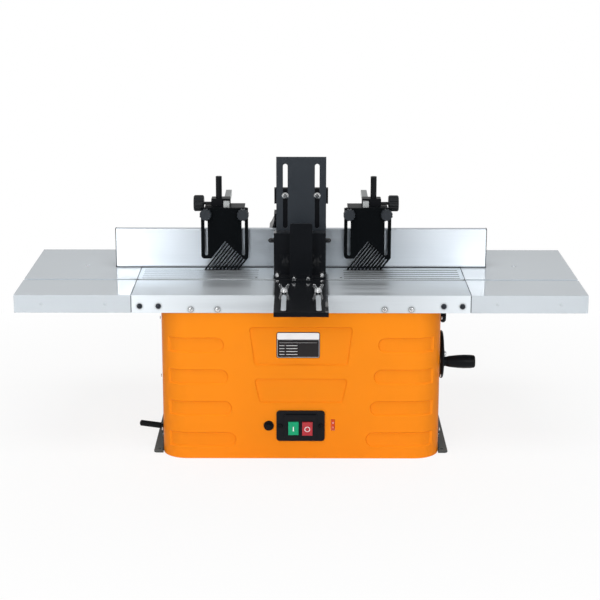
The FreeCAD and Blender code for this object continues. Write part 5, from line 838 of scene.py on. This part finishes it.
def plate_print():
    """The band, border and rules of the plate, lying in XY round its middle."""
    width = PLATE_WIDTH - 2.0 * PRINT_MARGIN
    height = PLATE_HEIGHT - 2.0 * PRINT_MARGIN
    corner = PLATE_CORNER - PRINT_MARGIN
    field_height = height - BAND_HEIGHT - BAND_GAP
    field_y = -(BAND_HEIGHT + BAND_GAP) / 2.0
    head_y = field_y + field_height / 2.0 - HEAD_RULE_DROP
    rules_x = RULE_MARGIN - width / 2.0
    bm = moved(rounded_sheet(width, BAND_HEIGHT, upper=corner), 0.0, (height - BAND_HEIGHT) / 2.0)
    border = outlined(rounded_sheet(width, field_height, corner, corner), BORDER_WIDTH)
    add_shape(bm, moved(border, 0.0, field_y))
    head_rule = rounded_sheet(width - 2.0 * RULE_MARGIN, HEAD_RULE_HEIGHT)
    add_shape(bm, moved(head_rule, 0.0, head_y))
    for row in range(RULE_COUNT):
        rule_y = head_y - (row + 1) * RULE_STEP
        for start, length in ((0.0, LABEL_RULE), (VALUE_RULE_X, VALUE_RULE)):
            rule = rounded_sheet(length, RULE_HEIGHT)
            add_shape(bm, moved(rule, rules_x + start + length / 2.0, rule_y))
    return thickened(bm, PRINT_T)


def add_rating_plate():
    place = facing((PLATE_CENTRE_X, PANEL_FLOOR_Y, PLATE_CENTRE_Z), FRONT)
    plate = thickened(rounded_sheet(PLATE_WIDTH, PLATE_HEIGHT, PLATE_CORNER, PLATE_CORNER), PLATE_T)
    top_edges = [edge for edge in plate.edges if all(vert.co.z > PLATE_T / 2.0 for vert in edge.verts)]
    round_edges(plate, top_edges, PLATE_EDGE)
    new_piece("rating_plate", stood(plate, place), "base", "plate_black")
    prints = moved(plate_print(), 0.0, 0.0, PLATE_T)
    new_piece("plate_print", stood(prints, place), "base", "white_print")


# Stop button with a dished face: a sloping lip below and a hooded upper third
DISH_DEPTH = 3.0 * MM
DISH_RIM = 0.6 * MM
LIP_HEIGHT = 3.6 * MM
HOOD_HEIGHT = 7.0 * MM
BUTTON_EDGE = 0.3 * MM


def add_stop_button():
    front = STOP_LOW.y
    floor = front + DISH_DEPTH
    profile = (
        (front, STOP_LOW.z),
        (front, STOP_LOW.z + DISH_RIM),
        (floor, STOP_LOW.z + LIP_HEIGHT),
        (floor, STOP_HIGH.z - HOOD_HEIGHT),
        (front, STOP_HIGH.z - DISH_RIM),
        (front, STOP_HIGH.z),
        (STOP_HIGH.y, STOP_HIGH.z),
        (STOP_HIGH.y, STOP_LOW.z),
    )
    bm = bmesh.new()
    side_face = bm.faces.new([bm.verts.new((STOP_LOW.x, y, z)) for y, z in profile])
    extruded(bm, [side_face], (STOP_HIGH.x - STOP_LOW.x, 0.0, 0.0))
    bmesh.ops.recalc_face_normals(bm, faces=bm.faces)
    round_edges(bm, bm.edges[:], BUTTON_EDGE)
    button = new_piece("stop_button_cap", bm, "stop_button", "red_plastic")
    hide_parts("stop_button")


# Switch marks: a stroke on the start button and a ring on the floor of the stop button's dish
MARK_T = 0.3 * MM
STROKE_WIDTH = 1.8 * MM
STROKE_HEIGHT = 8.4 * MM
STROKE_CORNER = 0.4 * MM
STROKE_DROP = 0.7 * MM
RING_OUTER_R = 5.0 * MM
RING_LINE = 1.1 * MM
RING_DROP = 1.4 * MM
RING_SIDES = 32


def add_switch_marks():
    start = (START_LOW + START_HIGH) / 2.0
    stroke = thickened(rounded_sheet(STROKE_WIDTH, STROKE_HEIGHT, STROKE_CORNER, STROKE_CORNER), MARK_T)
    stroke_place = facing((start.x, START_LOW.y, start.z - STROKE_DROP), FRONT)
    new_piece("start_mark", stood(stroke, stroke_place), "start_button", "white_print")

    stop = (STOP_LOW + STOP_HIGH) / 2.0
    disc = bmesh.new()
    bmesh.ops.create_circle(disc, cap_ends=True, segments=RING_SIDES, radius=RING_OUTER_R)
    ring = thickened(outlined(disc, RING_LINE), MARK_T)
    ring_place = facing((stop.x, STOP_LOW.y + DISH_DEPTH, stop.z - RING_DROP), FRONT)
    new_piece("stop_mark", stood(ring, ring_place), "stop_button", "white_print")


# Plain numerals round the speed wheel
NUMERALS = "123456"
NUMERAL_SIZE = 5.0 * MM
NUMERAL_T = 0.2 * MM
NUMERAL_STEP = math.radians(36.0)
NUMERAL_SINK = 0.15 * MM


def numeral_shape(text):
    """One numeral as a bmesh, lying in XY round its middle."""
    curve = bpy.data.curves.new("numeral", "FONT")
    curve.body = text
    curve.size = NUMERAL_SIZE
    curve.extrude = NUMERAL_T
    curve.align_x = "CENTER"
    curve.align_y = "CENTER"
    holder = bpy.data.objects.new("numeral", curve)
    mesh = bpy.data.meshes.new_from_object(holder)
    bpy.data.objects.remove(holder)
    bm = bmesh.new()
    bm.from_mesh(mesh)
    bpy.data.meshes.remove(mesh)
    return bm


def add_numerals():
    centre = (WHEEL_LOW + WHEEL_HIGH) / 2.0
    radius = (WHEEL_HIGH.z - WHEEL_LOW.z) / 2.0 - NUMERAL_SINK
    numerals = bmesh.new()
    for index, text in enumerate(NUMERALS):
        angle = (index - (len(NUMERALS) - 1) / 2.0) * NUMERAL_STEP
        turn = Matrix.Rotation(-angle, 4, "X")
        place = Matrix.Translation(centre) @ turn @ facing((0.0, -radius, 0.0), FRONT)
        add_shape(numerals, stood(numeral_shape(text), place))
    new_piece("speed_numerals", numerals, "speed_wheel", "white_print")


# Small domed heads: rivets on the side walls, weld marks on the wings and plugs in the table
DOME_SIDES = 20
DOME_STEPS = 5
RIVET_R = 3.2 * MM
RIVET_T = 1.6 * MM
RIVET_Y = 150.0 * MM
RIVET_ZS = (47.0 * MM, 148.0 * MM, 255.0 * MM)
WELD_MARK_R = 2.6 * MM
WELD_MARK_T = 0.25 * MM
WELD_MARK_FROM_SEAM = (46.0 * MM, 158.0 * MM)
WELD_MARK_DROP = 16.0 * MM
PLUG_R = 2.2 * MM
PLUG_T = 0.3 * MM
PLUG_PLACES = ((-82.0 * MM, -48.0 * MM), (73.0 * MM, -48.0 * MM))


def dome(radius, height):
    """A low round head that stands along +Z, closed below."""
    bm = bmesh.new()
    arc = []
    for step in range(DOME_STEPS + 1):
        lean = math.pi / 2.0 * step / DOME_STEPS
        arc.append(bm.verts.new((radius * math.cos(lean), 0.0, height * math.sin(lean))))
    edges = [bm.edges.new(pair) for pair in zip(arc, arc[1:])]
    bmesh.ops.spin(bm, geom=arc + edges, cent=(0.0, 0.0, 0.0), axis=UP, angle=math.tau, steps=DOME_SIDES,
                   use_merge=True)
    bmesh.ops.remove_doubles(bm, verts=bm.verts, dist=WELD)
    foot = [edge for edge in bm.edges if edge.is_boundary]
    bmesh.ops.holes_fill(bm, edges=foot, sides=0)
    return bm


def add_small_heads():
    rivets = []
    for z in RIVET_ZS:
        for y in (-RIVET_Y, RIVET_Y):
            rivets.append(facing((BODY_LOW.x, y, z), LEFT))
            rivets.append(facing((BODY_HIGH.x, y, z), RIGHT))
    weld_xs = [TABLE_HIGH.x + gap for gap in WELD_MARK_FROM_SEAM]
    marks = skirt_places(weld_xs, WELD_MARK_DROP)
    plugs = [facing((x, y, TABLE_HIGH.z), UP) for x, y in PLUG_PLACES]
    new_piece("side_rivets", copies(dome(RIVET_R, RIVET_T), rivets), "base", "zinc")
    new_piece("wing_weld_marks", copies(dome(WELD_MARK_R, WELD_MARK_T), marks), "base", "wing_paint")
    new_piece("table_plugs", copies(dome(PLUG_R, PLUG_T), plugs), "base", "screw_black")


# Thin dark strips of painted shade: over the joints between the table and its wings, and on the fence's
# outer ends
STRIP_WIDTH = 1.6 * MM
STRIP_PROUD = 0.12 * MM
STRIP_INSET = 1.0 * MM
STRIP_SINK = 1.0 * MM
STRIP_EDGE = STRIP_PROUD / 2.0
END_SHADE_T = 1.4 * MM


def slab(low, high):
    """A thin block between two corners, with its edges rounded a little."""
    bm = bmesh.new()
    bmesh.ops.create_cube(bm, size=1.0)
    bmesh.ops.scale(bm, vec=high - low, verts=bm.verts)
    bmesh.ops.translate(bm, vec=(low + high) / 2.0, verts=bm.verts)
    round_edges(bm, bm.edges[:], STRIP_EDGE)
    return bm


def add_joint_shadow_strips():
    """A dark line over each joint, along the top and down the front and back skirts: the painted shadow of
    the joint gap.
    """
    strips = bmesh.new()
    half = STRIP_WIDTH / 2.0
    for x in (TABLE_LOW.x, TABLE_HIGH.x):
        top_low = Vector((x - half, TABLE_LOW.y + STRIP_INSET, TABLE_HIGH.z - STRIP_SINK))
        top_high = Vector((x + half, TABLE_HIGH.y - STRIP_INSET, TABLE_HIGH.z + STRIP_PROUD))
        add_shape(strips, slab(top_low, top_high))
        for y, out in ((TABLE_LOW.y, -1.0), (TABLE_HIGH.y, 1.0)):
            inner, outer = sorted((y - out * STRIP_SINK, y + out * STRIP_PROUD))
            low = Vector((x - half, inner, TABLE_LOW.z + STRIP_INSET))
            high = Vector((x + half, outer, TABLE_HIGH.z - STRIP_INSET))
            add_shape(strips, slab(low, high))
    new_piece("joint_shadow_strips", strips, "base", "joint_grey")


def add_fence_end_shades():
    """A dark slab on the outer end of each fence plate: painted shade of the plate's end face."""
    for side in SIDES:
        low, high = (corner.copy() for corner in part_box("fence_plate_" + side))
        if side == "left":
            low.x -= STRIP_PROUD
            high.x = low.x + END_SHADE_T
        else:
            high.x += STRIP_PROUD
            low.x = high.x - END_SHADE_T
        low.y -= STRIP_PROUD
        high.y += STRIP_PROUD
        high.z += STRIP_PROUD
        # Painted shade: a dark slab over the plate's end face
        new_piece("fence_end_shade_" + side, slab(low, high), "fence_" + side, "black_plastic")


add_camera()
add_floor()
add_room()
add_soft_boxes()
add_card()
finish_nodes()
add_screws()
add_rating_plate()
add_switch_marks()
add_stop_button()
add_numerals()
add_small_heads()
add_joint_shadow_strips()
add_fence_end_shades()
bpy.context.scene.view_settings.view_transform = "Standard"
